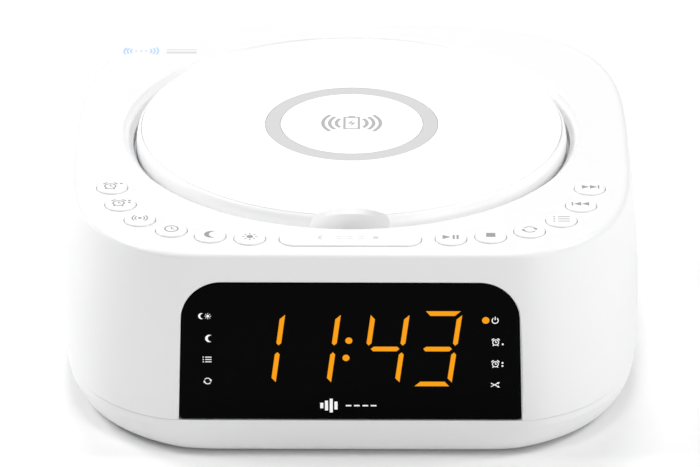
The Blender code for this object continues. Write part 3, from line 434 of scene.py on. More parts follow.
def settle(obj):
    """Replace the object's mesh by what its modifiers make of it."""
    bpy.context.view_layer.update()
    evaluated = obj.evaluated_get(bpy.context.evaluated_depsgraph_get())
    mesh = bpy.data.meshes.new_from_object(evaluated)
    obj.modifiers.clear()
    old = obj.data
    obj.data = mesh
    bpy.data.meshes.remove(old)


def dress(obj, material, body, replaced=(), sharp=32.0):
    """Smooth the piece, give it its finish and fix it to its body."""
    obj.data.shade_smooth()
    obj.data.set_sharp_from_angle(angle=radians(sharp))
    step = obj.modifiers.new("normals", "WEIGHTED_NORMAL")
    step.keep_sharp = True
    settle(obj)
    obj.data.materials.clear()
    obj.data.materials.append(material)
    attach(obj, body)
    if replaced:
        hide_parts(*replaced)


# -------- outlines

def section_sizes(z):
    rise = ((z - WIDEST_Z) / (TOP_Z - WIDEST_Z)) ** 2
    front_rise = ((z - FRONT_WIDEST_Z) / (TOP_Z - FRONT_WIDEST_Z)) ** 2
    return (HALF_WIDTH - SIDE_FLARE * rise, HALF_DEPTH - DEPTH_FLARE * rise,
            FRONT - FRONT_FLARE * front_rise)


def flattened(y, front):
    """y, kept behind the flat front with a soft corner."""
    return -front + FRONT_BLEND * log1p(exp((y + front) / FRONT_BLEND))


def superellipse_radius(angle, half_width, half_depth, power):
    across = abs(cos(angle) / half_width) ** power
    along = abs(sin(angle) / half_depth) ** power
    return (across + along) ** (-1.0 / power)


def body_section(z, inset=0.0, power=BODY_POWER):
    half_width, half_depth, front = section_sizes(z)
    points = []
    for i in range(OUTLINE_POINTS):
        angle = 2.0 * pi * i / OUTLINE_POINTS
        radius = superellipse_radius(angle, half_width - inset, half_depth - inset, power)
        points.append((radius * cos(angle),
                       flattened(BODY_Y + radius * sin(angle), front - inset), z))
    return points


def front_y(x, z):
    """y of the front wall's outer surface at x and height z."""
    half_width, half_depth, front = section_sizes(z)
    share = (1.0 - (abs(x) / half_width) ** BODY_POWER) ** (1.0 / BODY_POWER)
    return flattened(BODY_Y - half_depth * share, front)


def window_outline(inset, foot, foot_radius=0.0):
    """The display window seen from the front, as (x, z) points."""
    half, top = WINDOW_HALF_WIDTH - inset, WINDOW_TOP_Z - inset
    radius = WINDOW_CORNER_RADIUS - inset
    outline = arc((half - radius, top - radius), radius, 0.0, 90.0, WINDOW_CORNER_POINTS)
    outline += arc((radius - half, top - radius), radius, 90.0, 180.0, WINDOW_CORNER_POINTS)
    if foot_radius > 0.0:
        outline += arc((foot_radius - half, foot + foot_radius), foot_radius, 180.0, 270.0, 6)
        outline += arc((half - foot_radius, foot + foot_radius), foot_radius, 270.0, 360.0, 6)
    else:
        outline += [(-half, foot), (half, foot)]
    return [(x * (1.0 - WINDOW_TAPER * (z - SEAM_Z)), z) for x, z in outline]


def button_centres():
    """Cap centres from the snooze bar outwards, on the right; the left side mirrors them."""
    centres = []
    for i in range(len(RIGHT_BUTTONS)):
        angle = radians(-90.0 + BUTTON_FIRST_ANGLE + BUTTON_ANGLE_STEP * i)
        radius = superellipse_radius(angle, BUTTON_ROW_HALF_WIDTH, BUTTON_ROW_HALF_DEPTH,
                                     BUTTON_ROW_POWER)
        centres.append((radius * cos(angle), radius * sin(angle)))
    return centres


def cap_outline(centre, half_length, radius, count=64):
    """A circle, or a bar with round ends when half_length is larger than radius."""
    reach = half_length - radius
    points = []
    for side, start in ((1.0, -90.0), (-1.0, 90.0)):
        for i in range(count // 2):
            angle = radians(start + 180.0 * (i + 0.5) / (count // 2))
            points.append((centre[0] + side * reach + radius * cos(angle),
                           centre[1] + radius * sin(angle)))
    return points


def all_buttons():
    """(node, centre, half length) of every cap."""
    found = [("snooze_bar", (0.0, -BUTTON_ROW_HALF_DEPTH), SNOOZE_HALF_LENGTH)]
    for (x, y), left, right in zip(button_centres(), LEFT_BUTTONS, RIGHT_BUTTONS):
        found.append(("button_" + left, (-x, y), BUTTON_RADIUS))
        found.append(("button_" + right, (x, y), BUTTON_RADIUS))
    return found


# -------- casing

def dish_profile():
    """(radius, z) from the top panel down into the dish, over the ledge and into the well."""
    return rounded([(DISH_RADIUS + 3.0, TOP_Z), (DISH_RADIUS, TOP_Z),
                    (DISH_FOOT_RADIUS, DISH_FOOT_Z),
                    (DISH_FOOT_RADIUS, LEDGE_Z - DISH_GROOVE_DEPTH),
                    (LID_RADIUS - WALL, LEDGE_Z - DISH_GROOVE_DEPTH), (LID_RADIUS - WALL, LEDGE_Z),
                    (WELL_RADIUS, LEDGE_Z), (WELL_RADIUS, WELL_FLOOR_Z),
                    (WELL_PATCH_RADIUS, WELL_FLOOR_Z)],
                   [1.2, 0.8, 0.2, 0.2, 0.2, 0.6, 1.6])


def make_upper_case():
    foot, top = SEAM_Z + SEAM_EDGE, TOP_Z - EDGE_RADIUS
    outer = [body_section(SEAM_Z, SEAM_EDGE)]
    outer += [body_section(foot + (top - foot) * i / WALL_RINGS) for i in range(WALL_RINGS + 1)]
    for inset, drop in quarter(9)[1:]:
        outer.append(body_section(TOP_Z - EDGE_RADIUS * drop, EDGE_RADIUS * inset))
    outer += [circle(radius, z, LID_AXIS, OUTLINE_POINTS) for radius, z in dish_profile()]

    # Inside, a few sections are enough for the wall
    inner = [body_section(z, WALL) for z in (SEAM_Z, WIDEST_Z, 40.0, 52.0, 66.0, 74.0)]
    inner.append(body_section(top, WALL + 0.2))
    inner.append(body_section(TOP_Z - WALL, WALL + 0.9))
    for radius, z in [(DISH_RADIUS + 0.9, TOP_Z - WALL), (DISH_FOOT_RADIUS + WALL, DISH_FOOT_Z - 0.8),
                      (DISH_FOOT_RADIUS + WALL, LEDGE_Z - WALL), (WELL_RADIUS + WALL, LEDGE_Z - WALL),
                      (WELL_RADIUS + WALL, WELL_FLOOR_Z - WALL),
                      (WELL_PATCH_RADIUS, WELL_FLOOR_Z - WALL)]:
        inner.append(circle(radius, z, LID_AXIS, OUTLINE_POINTS))
    case = build("upper_case_shell", add_loft(bmesh.new(), outer[::-1] + inner))

    bm = bmesh.new()
    for x, y in POSTS:
        add_rod(bm, (x, y, POST_FOOT_Z), POST_RADIUS, PANEL_ROOT_Z - POST_FOOT_Z, steps=40)
    for middle in (-HINGE_ARM_X, HINGE_ARM_X):
        for edge in (-1.0, 1.0):
            near = middle + edge * (HINGE_ARM_WIDTH / 2 + GAP)
            far = near + edge * CHEEK_THICKNESS
            add_box(bm, (min(near, far), HINGE_Y - CHEEK_FRONT_REACH, HINGE_Z - CHEEK_DROP),
                    (max(near, far), HINGE_Y + CHEEK_REAR_REACH, PANEL_ROOT_Z))
    combine(case, bm, "UNION")

    bm = bmesh.new()
    for x, y in POSTS:
        add_rod(bm, (x, y, POST_FOOT_Z - 1.0), SCREW_SHANK_RADIUS + GAP, PILOT_DEPTH + 1.0,
                steps=24)
    for middle in (-HINGE_ARM_X, HINGE_ARM_X):
        reach = HINGE_ARM_WIDTH / 2 + HINGE_SLOT_SIDE_ROOM
        add_box(bm, (middle - reach, HINGE_SLOT_FRONT, TOP_Z - HINGE_SLOT_DEPTH),
                (middle + reach, HINGE_SLOT_REAR, TOP_Z - HINGE_SLOT_ROOF))
    add_window_cutter(bm)
    for _, centre, half_length in all_buttons():
        add_button_hole(bm, centre, half_length)
    slot = rounded_rectangle(0.0, PICKUP_SLOT_Y, PICKUP_SLOT_HALF_WIDTH, PICKUP_SLOT_HALF_LENGTH,
                             PICKUP_SLOT_CORNER)
    add_loft(bm, [at_height(slot, z) for z in (UNDER_WELL_Z, UNDER_WELL_Z + 15.0)])
    cut(case, bm)

    bm = bmesh.new()
    add_turned(bm, [(0.0, UNDER_WELL_Z), (SPINDLE_HOLE_RADIUS, UNDER_WELL_Z),
                    (SPINDLE_HOLE_RADIUS, WELL_FLOOR_Z + 1.0 - SPINDLE_HOLE_BEVEL),
                    (SPINDLE_HOLE_RADIUS + SPINDLE_HOLE_BEVEL, WELL_FLOOR_Z + 1.0),
                    (0.0, WELL_FLOOR_Z + 1.0)], steps=96)
    add_pin_bore(bm, 9.0)
    add_socket_openings(bm)
    cut(case, bm)
    dress(case, CASE_WHITE, "radio_body", ["upper_case"])


def add_pin_bore(bm, reach):
    """The bore for the hinge pins, which runs reach past the middles of the two arms."""
    start = -HINGE_ARM_X - reach
    return add_rod(bm, (start, HINGE_Y, HINGE_Z), HINGE_PIN_RADIUS + GAP, -2 * start, "X", 32)


def add_window_cutter(bm):
    """The window's opening, bevelled in front and open at the seam."""
    foot = SEAM_Z - 5.0
    rings = [[(x, WINDOW_CUT_Y, z) for x, z in window_outline(0.0, foot)]]
    for inset, depth in ((0.0, WINDOW_BEVEL), (-WINDOW_BEVEL - 0.05, -0.05), (-3.0, -2.5)):
        rings.append([(x, front_y(x, max(z, SEAM_Z)) + depth, z)
                      for x, z in window_outline(inset, foot)])
    add_loft(bm, rings)


def add_button_hole(bm, centre, half_length):
    edge = BUTTON_HOLE_BEVEL
    rings = []
    for z, spread in ((TOP_Z - 5.0, 0.0), (TOP_Z - edge, 0.0), (TOP_Z - 0.3 * edge, 0.25 * edge),
                      (TOP_Z + 0.02, edge), (TOP_Z + 2.0, edge + 1.0)):
        grown = BUTTON_HOLE_GAP + spread
        rings.append(at_height(cap_outline(centre, half_length + grown, BUTTON_RADIUS + grown), z))
    add_loft(bm, rings)


def add_socket_openings(bm):
    start = REAR_WALL_Y - JACK_CUT_LENGTH / 2
    add_rod(bm, (DC_X, start, JACK_Z), DC_HOLE_RADIUS, JACK_CUT_LENGTH, "Y")
    add_rod(bm, (AUX_X, start, JACK_Z), AUX_HOLE_RADIUS, JACK_CUT_LENGTH, "Y")
    outline = rounded_rectangle(USB_X, JACK_Z, USB_HALF_WIDTH, USB_HALF_HEIGHT, USB_CORNER)
    add_loft(bm, [[(x, y, z) for x, z in outline] for y in (start, start + JACK_CUT_LENGTH)])


def rounded_rectangle(centre_x, centre_y, half_width, half_height, radius, count=7):
    points = []
    for side, rise, start in ((1, 1, 0.0), (-1, 1, 90.0), (-1, -1, 180.0), (1, -1, 270.0)):
        points += arc((centre_x + side * (half_width - radius),
                       centre_y + rise * (half_height - radius)), radius, start, start + 90.0,
                      count)
    return points


def base_ring(turn, wall=0.0):
    """The base's outline at an angle round its lower curve; wall draws it in."""
    z = BASE_TURN_Z - (BASE_TURN_Z - FLOOR_Z) * sin(turn)
    inset = BASE_INSET + BASE_CURVE_REACH * (1.0 - cos(turn))
    share = (BASE_TURN_Z - z) / (BASE_TURN_Z - FLOOR_Z)
    return body_section(z + wall * sin(turn), inset + wall * cos(turn),
                        BODY_POWER + (BASE_POWER - BODY_POWER) * share)


def make_base_case():
    top = SEAM_Z - SEAM_GAP
    outer = [body_section(top, BASE_INSET + SEAM_EDGE), body_section(top - SEAM_EDGE, BASE_INSET)]
    outer += [base_ring(radians(90.0 * i / 20)) for i in range(21)]
    inner = [body_section(top, BASE_INSET + BASE_WALL)]
    inner += [base_ring(radians(90.0 * i / 8), BASE_WALL) for i in range(9)]
    base = build("base_case_shell", add_loft(bmesh.new(), outer[::-1] + inner))

    bm = bmesh.new()
    for x, y in POSTS:
        add_rod(bm, (x, y, FLOOR_Z + 1.0), BASE_POST_RADIUS, POST_FOOT_Z - GAP - FLOOR_Z - 1.0,
                steps=40)
    for x, y in BOARD_POSTS:
        add_rod(bm, (x, y, FLOOR_Z + 1.0), BOARD_POST_RADIUS,
                MAIN_BOARD_Z - GAP - FLOOR_Z - 1.0, steps=32)
    add_rod(bm, (0.0, CELL_Y, FLOOR_Z + 1.0), CELL_DOOR_RADIUS + CELL_COLLAR, CELL_COLLAR_HEIGHT)
    combine(base, bm, "UNION")

    def mouth(radius):
        """A hole's widening through the floor, down to the axis."""
        low = FLOOR_Z + 0.4 - UNDERSIDE_BEVEL
        return [(radius, FLOOR_Z + 0.4), (radius + UNDERSIDE_BEVEL, low), (0.0, low)]

    bm = bmesh.new()
    above = 20.0                    # over everything that the base holds up
    hole = CELL_DOOR_RADIUS + UNDERSIDE_ROOM
    add_turned(bm, [(0.0, above), (hole, above)] + mouth(hole), (0.0, CELL_Y), 96)
    head_room = SCREW_HEAD_Z + SCREW_HEAD_HEIGHT + GAP
    shank, hole = SCREW_SHANK_RADIUS + GAP, SCREW_HEAD_RADIUS + UNDERSIDE_ROOM
    for x, y in POSTS:
        add_turned(bm, [(0.0, above), (shank, above), (shank, head_room), (hole, head_room)]
                   + mouth(hole), (x, y), 48)
    for x, y in FEET:
        add_rod(bm, (x, y, 0.0), FOOT_RADIUS + GAP, FLOOR_Z + FOOT_RECESS)
    for side in (-1.0, 1.0):
        for i in range(GRILLE_SLOTS):
            offset = (i - (GRILLE_SLOTS - 1) / 2) * GRILLE_PITCH
            reach = sqrt((SPEAKER_RADIUS - 5.0) ** 2 - offset ** 2)
            ends = cap_outline((0.0, 0.0), reach, GRILLE_SLOT_WIDTH / 2, 24)
            slot = [(y + side * SPEAKER_X + offset, x + SPEAKER_Y) for x, y in ends]
            add_loft(bm, [at_height(slot, z) for z in (0.0, 8.0)])
    cut(base, bm)
    dress(base, CASE_WHITE, "radio_body", ["base_case"])


# -------- display

def lens_y(x, z):
    return front_y(x, z) + LENS_SET_BACK


def make_display_lens():
    foot = SEAM_Z + 0.2
    middle_z = (WINDOW_TOP_Z + foot) / 2

    def outline(inset):
        return window_outline(DISPLAY_GAP + inset, foot + inset,
                              foot_radius=LENS_FOOT_CORNER - inset)

    rings = [[(x, WINDOW_BACK_Y, z) for x, z in outline(0.0)]]
    for inset, drop in quarter(4):
        rings.append([(x, lens_y(x, z) + LENS_EDGE * drop, z)
                      for x, z in outline(LENS_EDGE * inset)])
    for i in range(1, LENS_RINGS):
        share = 1.0 - i / LENS_RINGS
        ring = [(x * share, middle_z + (z - middle_z) * share) for x, z in outline(LENS_EDGE)]
        rings.append([(x, lens_y(x, z), z) for x, z in ring])
    lens = build("display_lens", add_loft(bmesh.new(), rings))
    dress(lens, LENS_BLACK, "radio_body", ["display_window"])


def band(u, v, radius, width, start, end, count=18):
    """Part of a ring, as one outline."""
    outside = arc((u, v), radius + width / 2, start, end, count)
    inside = arc((u, v), radius - width / 2, end, start, count)
    return outside + inside


def waves(radii, width, spread, v=0.0, count=18):
    """Arcs to both sides of (0, v), like radiated power."""
    return [band(0.0, v, radius, width, middle - spread, middle + spread, count)
            for radius in radii for middle in (0.0, 180.0)]


def hoop(u, v, radius, width):
    return [band(u, v, radius, width, 0.0, 180.0), band(u, v, radius, width, 180.0, 360.0)]


def bar(start, end, width):
    along = (Vector(end) - Vector(start)).normalized() * width / 2
    side = Vector((-along.y, along.x))
    return [tuple(Vector(start) + side), tuple(Vector(start) - side),
            tuple(Vector(end) - side), tuple(Vector(end) + side)]


def crescent(u, v, radius):
    outside = arc((u, v), radius, 60.0, 300.0, 24)
    bite_centre = u + radius * 0.5
    bite = radius * sin(radians(60.0))
    inside = arc((bite_centre, v), bite, 270.0, 90.0, 20)
    return outside + inside[1:-1]


def arrow_head(u, v, size, degrees):
    return [(u + size * cos(radians(degrees + turn)),
             v + size * sin(radians(degrees + turn))) for turn in (0.0, 130.0, 230.0)]


def scaled(shapes, size, at=(0.0, 0.0)):
    return [[(at[0] + u * size, at[1] + v * size) for u, v in shape] for shape in shapes]


def digit_segment(name):
    """Outline of one segment of a seven-bar digit, from the digit's middle, before slanting."""
    half_width, half_height = 6.05, 14.07
    side, level_side = 0.86, 0.9          # half the width of an upright and of a level bar
    foot, drop = 1.4, 1.5                 # how far an upright keeps from the middle and the corner
    gap, tip = 0.8, 5.1
    upright = [(half_width, foot), (half_width + side, foot + side),
               (half_width + side, half_height + side - drop),
               (half_width - side, half_height - side - drop), (half_width - side, foot + side)]
    outer, inner = half_width + level_side - gap, half_width - level_side - gap
    level = [(-outer, half_height + level_side), (outer, half_height + level_side),
             (inner, half_height - level_side), (-inner, half_height - level_side)]
    middle = [(-tip, 0.0), (level_side - tip, level_side), (tip - level_side, level_side),
              (tip, 0.0), (tip - level_side, -level_side), (level_side - tip, -level_side)]
    shapes = {"upper_right": upright, "lower_right": [(u, -v) for u, v in upright],
              "upper_left": [(-u, v) for u, v in upright], "top": level,
              "bottom": [(u, -v) for u, v in level], "middle": middle}
    return shapes[name]


def print_shapes(name, shapes, to_world, material, body, thickness=PRINT_HEIGHT):
    """Lay flat outlines on a surface as thin printed marks; to_world takes (u, v, height)."""
    bm = bmesh.new()
    for order, shape in enumerate(shapes):
        height = thickness + PRINT_STEP * order
        add_loft(bm, [[to_world(u, v, level) for u, v in shape]
                      for level in (-PRINT_HEIGHT, height)])
    made = build(name, bm, merge=False)
    made.data.materials.append(material)
    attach(made, body)


def on_lens(u, v, height):
    return u, lens_y(u, v) - height, v


def make_digits():
    shapes = []
    for centre, segments in DIGITS:
        for segment in segments:
            shapes.append([(centre + u + DIGIT_SLANT * v, DIGIT_MIDDLE_Z + v)
                           for u, v in digit_segment(segment)])
    shapes += [disc(x, z, COLON_RADIUS) for x, z in COLON]
    shapes.append(disc(*POWER_DOT, POWER_DOT_RADIUS))
    print_shapes("clock_digits", shapes, on_lens, AMBER_LIT, "radio_body",
                 LENS_PRINT_HEIGHT)


def alarm_icon():
    icon = hoop(0.0, -0.1, 0.72, 0.2)
    icon += [bar((0.0, -0.1), (0.0, 0.35), 0.18), bar((0.0, -0.1), (0.34, -0.1), 0.18)]
    icon += [band(0.0, -0.1, 1.12, 0.24, 32.0, 68.0, 8), band(0.0, -0.1, 1.12, 0.24, 112.0, 148.0, 8)]
    icon += [bar((0.45, -0.75), (0.68, -1.05), 0.2), bar((-0.45, -0.75), (-0.68, -1.05), 0.2)]
    return icon


def clock_icon():
    return hoop(0.0, 0.0, 0.85, 0.2) + [bar((0.0, 0.0), (0.0, 0.52), 0.18),
                                        bar((0.0, 0.0), (0.42, -0.2), 0.18)]


def sun_icon():
    rays = [bar(start, end, 0.18) for start, end in zip(disc(0.0, 0.0, 0.65, 8),
                                                        disc(0.0, 0.0, 1.0, 8))]
    return [disc(0.0, 0.0, 0.45)] + rays


def wave_icon():
    return [disc(0.0, 0.0, 0.26)] + waves((0.62, 1.0), 0.18, 50.0, count=12)


def play_pause_icon():
    return [[(-1.1, -0.6), (0.0, 0.0), (-1.1, 0.6)], bar((0.35, -0.6), (0.35, 0.6), 0.28),
            bar((0.85, -0.6), (0.85, 0.6), 0.28)]


def repeat_icon():
    return [band(0.0, 0.0, 0.8, 0.2, 20.0, 150.0), band(0.0, 0.0, 0.8, 0.2, 200.0, 330.0),
            arrow_head(0.8, 0.12, 0.38, -80.0), arrow_head(-0.8, -0.12, 0.38, 100.0)]


def program_icon():
    icon = []
    for v in (-0.65, 0.0, 0.65):
        icon += [bar((-0.45, v), (1.1, v), 0.2), disc(-0.95, v, 0.15, 12)]
    return icon


def skip_icon(side):
    return [bar((side * 1.15, -0.55), (side * 1.15, 0.55), 0.2),
            [(0.0, -0.55), (side, 0.0), (0.0, 0.55)],
            [(side * -1.05, -0.55), (side * -0.05, 0.0), (side * -1.05, 0.55)]]


def shuffle_icon():
    return [bar((-1.0, -0.5), (0.75, 0.5), 0.2), bar((-1.0, 0.5), (0.75, -0.5), 0.2),
            arrow_head(0.85, 0.55, 0.38, 30.0), arrow_head(0.85, -0.55, 0.38, -30.0)]


def power_icon():
    return [band(0.0, -0.05, 0.75, 0.22, 125.0, 415.0, 26), bar((0.0, 0.1), (0.0, 1.0), 0.22)]


def half_day_icon():
    return [crescent(-0.7, 0.0, 0.8)] + scaled(sun_icon(), 0.8, (0.85, 0.0))


def make_lens_marks():
    size, left_x, right_x, middle_z = 1.45, -49.5, 50.3, 21.3
    left = [(half_day_icon(), 57.1), ([crescent(0.0, 0.0, 1.0)], 48.3), (program_icon(), 39.9),
            (repeat_icon(), 31.2)]
    dots = [disc(1.75, v, 0.24, 16) for v in (-0.6, 0.25)]
    right = [(power_icon(), POWER_DOT[1]), (alarm_icon() + dots[:1], 47.1),
             (alarm_icon() + dots, 38.4), (shuffle_icon(), 29.9)]
    shapes = []
    for column, x, outermost in ((left, left_x, max), (right, right_x, min)):
        for icon, z in column:
            end = outermost(point[0] for shape in icon for point in shape)
            shapes += scaled(icon, size, (x - end * size, z))
    for i, height in enumerate((2.2, 4.0, 5.6, 3.2)):
        u = -10.2 + 1.7 * i
        shapes.append(bar((u, middle_z - height / 2), (u, middle_z + height / 2), 1.1))
    shapes += [bar((u, middle_z), (u + 2.0, middle_z), 0.5) for u in (-1.6, 1.4, 4.4, 7.4)]
    print_shapes("display_marks", shapes, on_lens, MARK_WHITE, "radio_body",
                 LENS_PRINT_HEIGHT)


# -------- lid

def scoop_centre_y():
    return LID_Y - LID_RADIUS + SCOOP_DEPTH - SCOOP_RADIUS


def scoop_outline(bevel_share, count=64):
    """The finger scoop's bite seen from above, deepened in its middle by a share of the bevel."""
    reach = SCOOP_END_X + 3.0
    points = []
    for i in range(count + 1):
        x = reach - 2.0 * reach * i / count
        fade = cos(pi / 2.0 * min(1.0, abs(x) / SCOOP_END_X)) ** 2
        y = scoop_centre_y() + sqrt(SCOOP_RADIUS ** 2 - x ** 2)
        points.append((x, y + SCOOP_BEVEL * bevel_share * fade))
    front = LID_Y - LID_RADIUS - 10.0
    return [(-reach, front), (reach, front)] + points


def add_plug(bm, centre, radius, top, foot, steps):
    return add_turned(bm, [(0.0, top), (radius, top), (radius, foot), (0.0, foot)], centre, steps)


def scoop_room(margin, top, foot):
    """An upright cylinder round the finger scoop, wider than it by margin."""
    return add_plug(bmesh.new(), (0.0, scoop_centre_y()), SCOOP_RADIUS + margin, top, foot, 128)


def lid_edge_z(radius):
    """Height of the lid's rounded rim at a radius between its flat top and its wall."""
    across = (radius - (LID_RADIUS - LID_EDGE_WIDTH)) / LID_EDGE_WIDTH
    return LID_TOP_Z - LID_EDGE_HEIGHT * (1.0 - sqrt(1.0 - across ** 2))


def make_lid_cover():
    groove = LID_TOP_Z - RING_GROOVE
    near, far = RING_INNER - RING_GAP, RING_OUTER + RING_GAP
    shoulder = LID_RADIUS - LID_EDGE_WIDTH
    profile = [(0.0, LID_TOP_Z), (near, LID_TOP_Z), (near, groove), (far, groove),
               (far, LID_TOP_Z), (shoulder, LID_TOP_Z)]
    profile += [(radius, lid_edge_z(radius) - depth) for radius, depth in
                [(LID_LINE_RADIUS - LID_LINE_WIDTH / 2, 0.0), (LID_LINE_RADIUS, LID_LINE_DEPTH),
                 (LID_LINE_RADIUS + LID_LINE_WIDTH / 2, 0.0)]]
    profile += [(shoulder + LID_EDGE_WIDTH * across, LID_TOP_Z - LID_EDGE_HEIGHT * (1.0 - up))
                for across, up in arc((0.0, 0.0), 1.0, 65.0, 0.0, 14)]
    profile += [(LID_RADIUS, LID_RIM_Z + 0.2), (LID_RADIUS - 0.2, LID_RIM_Z), (0.0, LID_RIM_Z)]
    cover = build("lid_cover_shell", add_turned(bmesh.new(), profile))

    hollow = build("lid_hollow", add_plug(bmesh.new(), LID_AXIS, LID_RADIUS - WALL,
                                          LID_TOP_Z - WALL, LID_RIM_Z - 1.0, 160))
    cut(hollow, scoop_room(WALL, LID_TOP_Z + 2.0, LID_RIM_Z - 3.0))
    bm = bmesh.new()
    bm.from_mesh(hollow.data)
    bpy.data.objects.remove(hollow)
    cut(cover, bm)

    levels = [(LID_RIM_Z - 2.0, 0.0), (LID_TOP_Z - SCOOP_BEVEL_HEIGHT, 0.0), (LID_TOP_Z, 1.0),
              (LID_TOP_Z + 0.9, 1.5)]
    bite = [at_height(scoop_outline(share), z) for z, share in levels]
    cut(cover, add_loft(bmesh.new(), bite))
    dress(cover, LID_WHITE, "lid", ["lid_cover"], sharp=12.0)


def make_lid_liner():
    radius = LID_RADIUS - WALL - GAP - 0.3
    top = LID_RIM_Z + LINER_THICKNESS
    profile = [(0.0, top), (radius, top), (radius, LID_RIM_Z + 0.3), (radius - 0.3, LID_RIM_Z)]
    for middle in (62.0, 40.0, 18.0):
        profile += [(middle + 0.9, LID_RIM_Z), (middle + 0.6, LID_RIM_Z + 0.4),
                    (middle - 0.6, LID_RIM_Z + 0.4), (middle - 0.9, LID_RIM_Z)]
    profile.append((0.0, LID_RIM_Z))
    liner = build("lid_liner_plate", add_turned(bmesh.new(), profile, steps=200))
    cut(liner, scoop_room(WALL + GAP + 0.3, LID_TOP_Z, LID_RIM_Z - 2.0))

    # A hinge arm from the side, as (y, z) from the pin: hooked, to swing clear of the case
    side_view = [(1.6, 0.4), (-1.7, -1.0), (-3.8, -4.9), (-11.3, -4.9), (-13.4, 0.2),
                 (-19.5, 0.2), (-19.5, -0.3), (-15.4, -2.4), (-12.9, -8.1), (-4.8, -8.1),
                 (-2.2, -7.2), (1.2, -2.6)]
    half = HINGE_ARM_WIDTH / 2
    for middle in (-HINGE_ARM_X, HINGE_ARM_X):
        arm = [[(middle + x, HINGE_Y + y, HINGE_Z + z) for y, z in side_view]
               for x in (-half, half)]
        combine(liner, add_loft(bmesh.new(), arm), "UNION")
        combine(liner, add_rod(bmesh.new(), (middle - half, HINGE_Y, HINGE_Z), HINGE_EYE_RADIUS,
                               HINGE_ARM_WIDTH, "X", 48), "UNION")
    cut(liner, add_pin_bore(bmesh.new(), 6.0))
    dress(liner, WELL_WHITE, "lid", ["lid_liner"])


def make_charging_ring():
    foot = LID_TOP_Z - RING_GROOVE + 0.02
    top = LID_TOP_Z
    corners = [(RING_INNER, foot), (RING_INNER, top), (RING_OUTER, top), (RING_OUTER, foot)]
    profile = rounded(corners + [corners[0]], [0.12, 0.12, 0.0])[:-1]
    ring = build("charging_ring_pad", add_turned(bmesh.new(), profile, closed=True))
    dress(ring, RING_GREY, "lid", ["charging_ring"])


def on_lid(u, v, height):
    return u, v, LID_TOP_Z + height


def make_charging_mark():
    """A battery outline with a flash, and three arcs of radiated power on each side."""
    centre_y = 3.6
    half_width, half_height, stroke = 3.1, 5.4, 0.85
    left, right = -half_width + stroke / 2, half_width - stroke / 2
    low, high = centre_y - half_height + stroke / 2, centre_y + half_height - stroke / 2
    shapes = [bar((left, low - stroke / 2), (left, high + stroke / 2), stroke),
              bar((right, low - stroke / 2), (right, high + stroke / 2), stroke),
              bar((left, low), (right, low), stroke), bar((left, high), (right, high), stroke),
              bar((-1.2, high + stroke), (1.2, high + stroke), stroke),
              [(0.5, centre_y + 3.0), (-1.5, centre_y - 0.4), (0.1, centre_y - 0.4),
               (-0.5, centre_y - 3.0), (1.5, centre_y + 0.5), (-0.1, centre_y + 0.5)]]
    shapes += waves((5.7, 8.2, 10.7), 1.3, 41.0, centre_y)
    print_shapes("charging_mark", shapes, on_lid, PRINT_PALE, "lid")


def make_wireless_mark():
    """Radiating arcs round a row of dots, with two plain bars beside them, on the top panel."""
    centre_x, centre_y = -81.2, 73.9
    arcs = waves((4.0, 5.3, 6.6), 0.7, 30.0)
    arcs += [disc(u, 0.0, 0.5, 16) for u in (-1.9, 0.0, 1.9)]

    def on_panel(u, v, height):
        return centre_x + u, centre_y + v, TOP_Z + height

    print_shapes("wireless_mark", arcs, on_panel, PRINT_BLUE, "radio_body")
    bars = [bar((9.8, 1.2), (21.4, 1.2), 0.8), bar((9.8, -1.4), (21.4, -1.4), 1.7)]
    print_shapes("wireless_mark_bars", bars, on_panel, PRINT_FAINT, "radio_body")


# -------- buttons

def numbered_alarm(count):
    dots = [disc(1.15, v, 0.2, 12) for v in (0.7, 0.1)]
    return scaled(alarm_icon(), 1.0, (-0.25, 0.0)) + dots[:count]


BUTTON_ICONS = {
    "brightness": sun_icon(), "sleep": [crescent(0.2, 0.0, 1.0)], "clock": clock_icon(),
    "mode": wave_icon(), "alarm_two": numbered_alarm(2), "alarm_one": numbered_alarm(1),
    "play_pause": play_pause_icon(), "stop": [[(-0.6, -0.6), (0.6, -0.6), (0.6, 0.6), (-0.6, 0.6)]],
    "repeat": repeat_icon(), "program": program_icon(),
    "previous": skip_icon(-1.0), "next": skip_icon(1.0),
}


def make_buttons():
    cap_top = TOP_Z + BUTTON_PROUD
    flange_top = TOP_Z - WALL - GAP
    flange_foot = flange_top - 1.0
    for node, centre, half_length in all_buttons():
        stem = half_length - BUTTON_RADIUS + BUTTON_STEM_RADIUS
        flange = BUTTON_RADIUS + BUTTON_FLANGE
        sections = [(BUTTON_STEM_Z, stem, BUTTON_STEM_RADIUS),
                    (flange_foot, stem, BUTTON_STEM_RADIUS),
                    (flange_foot, half_length + BUTTON_FLANGE, flange),
                    (flange_top, half_length + BUTTON_FLANGE, flange),
                    (flange_top, half_length, BUTTON_RADIUS)]
        for inset, drop in quarter(6):
            sections.append((cap_top - BUTTON_EDGE_HEIGHT * drop,
                             half_length - BUTTON_EDGE_WIDTH * inset,
                             BUTTON_RADIUS - BUTTON_EDGE_WIDTH * inset))
        rings = [at_height(cap_outline(centre, length, radius), z)
                 for z, length, radius in sections]
        cap = build(node + "_cap", add_loft(bmesh.new(), rings))
        dress(cap, KEY_WHITE, node, [node])
        make_button_icon(node, centre, cap_top)


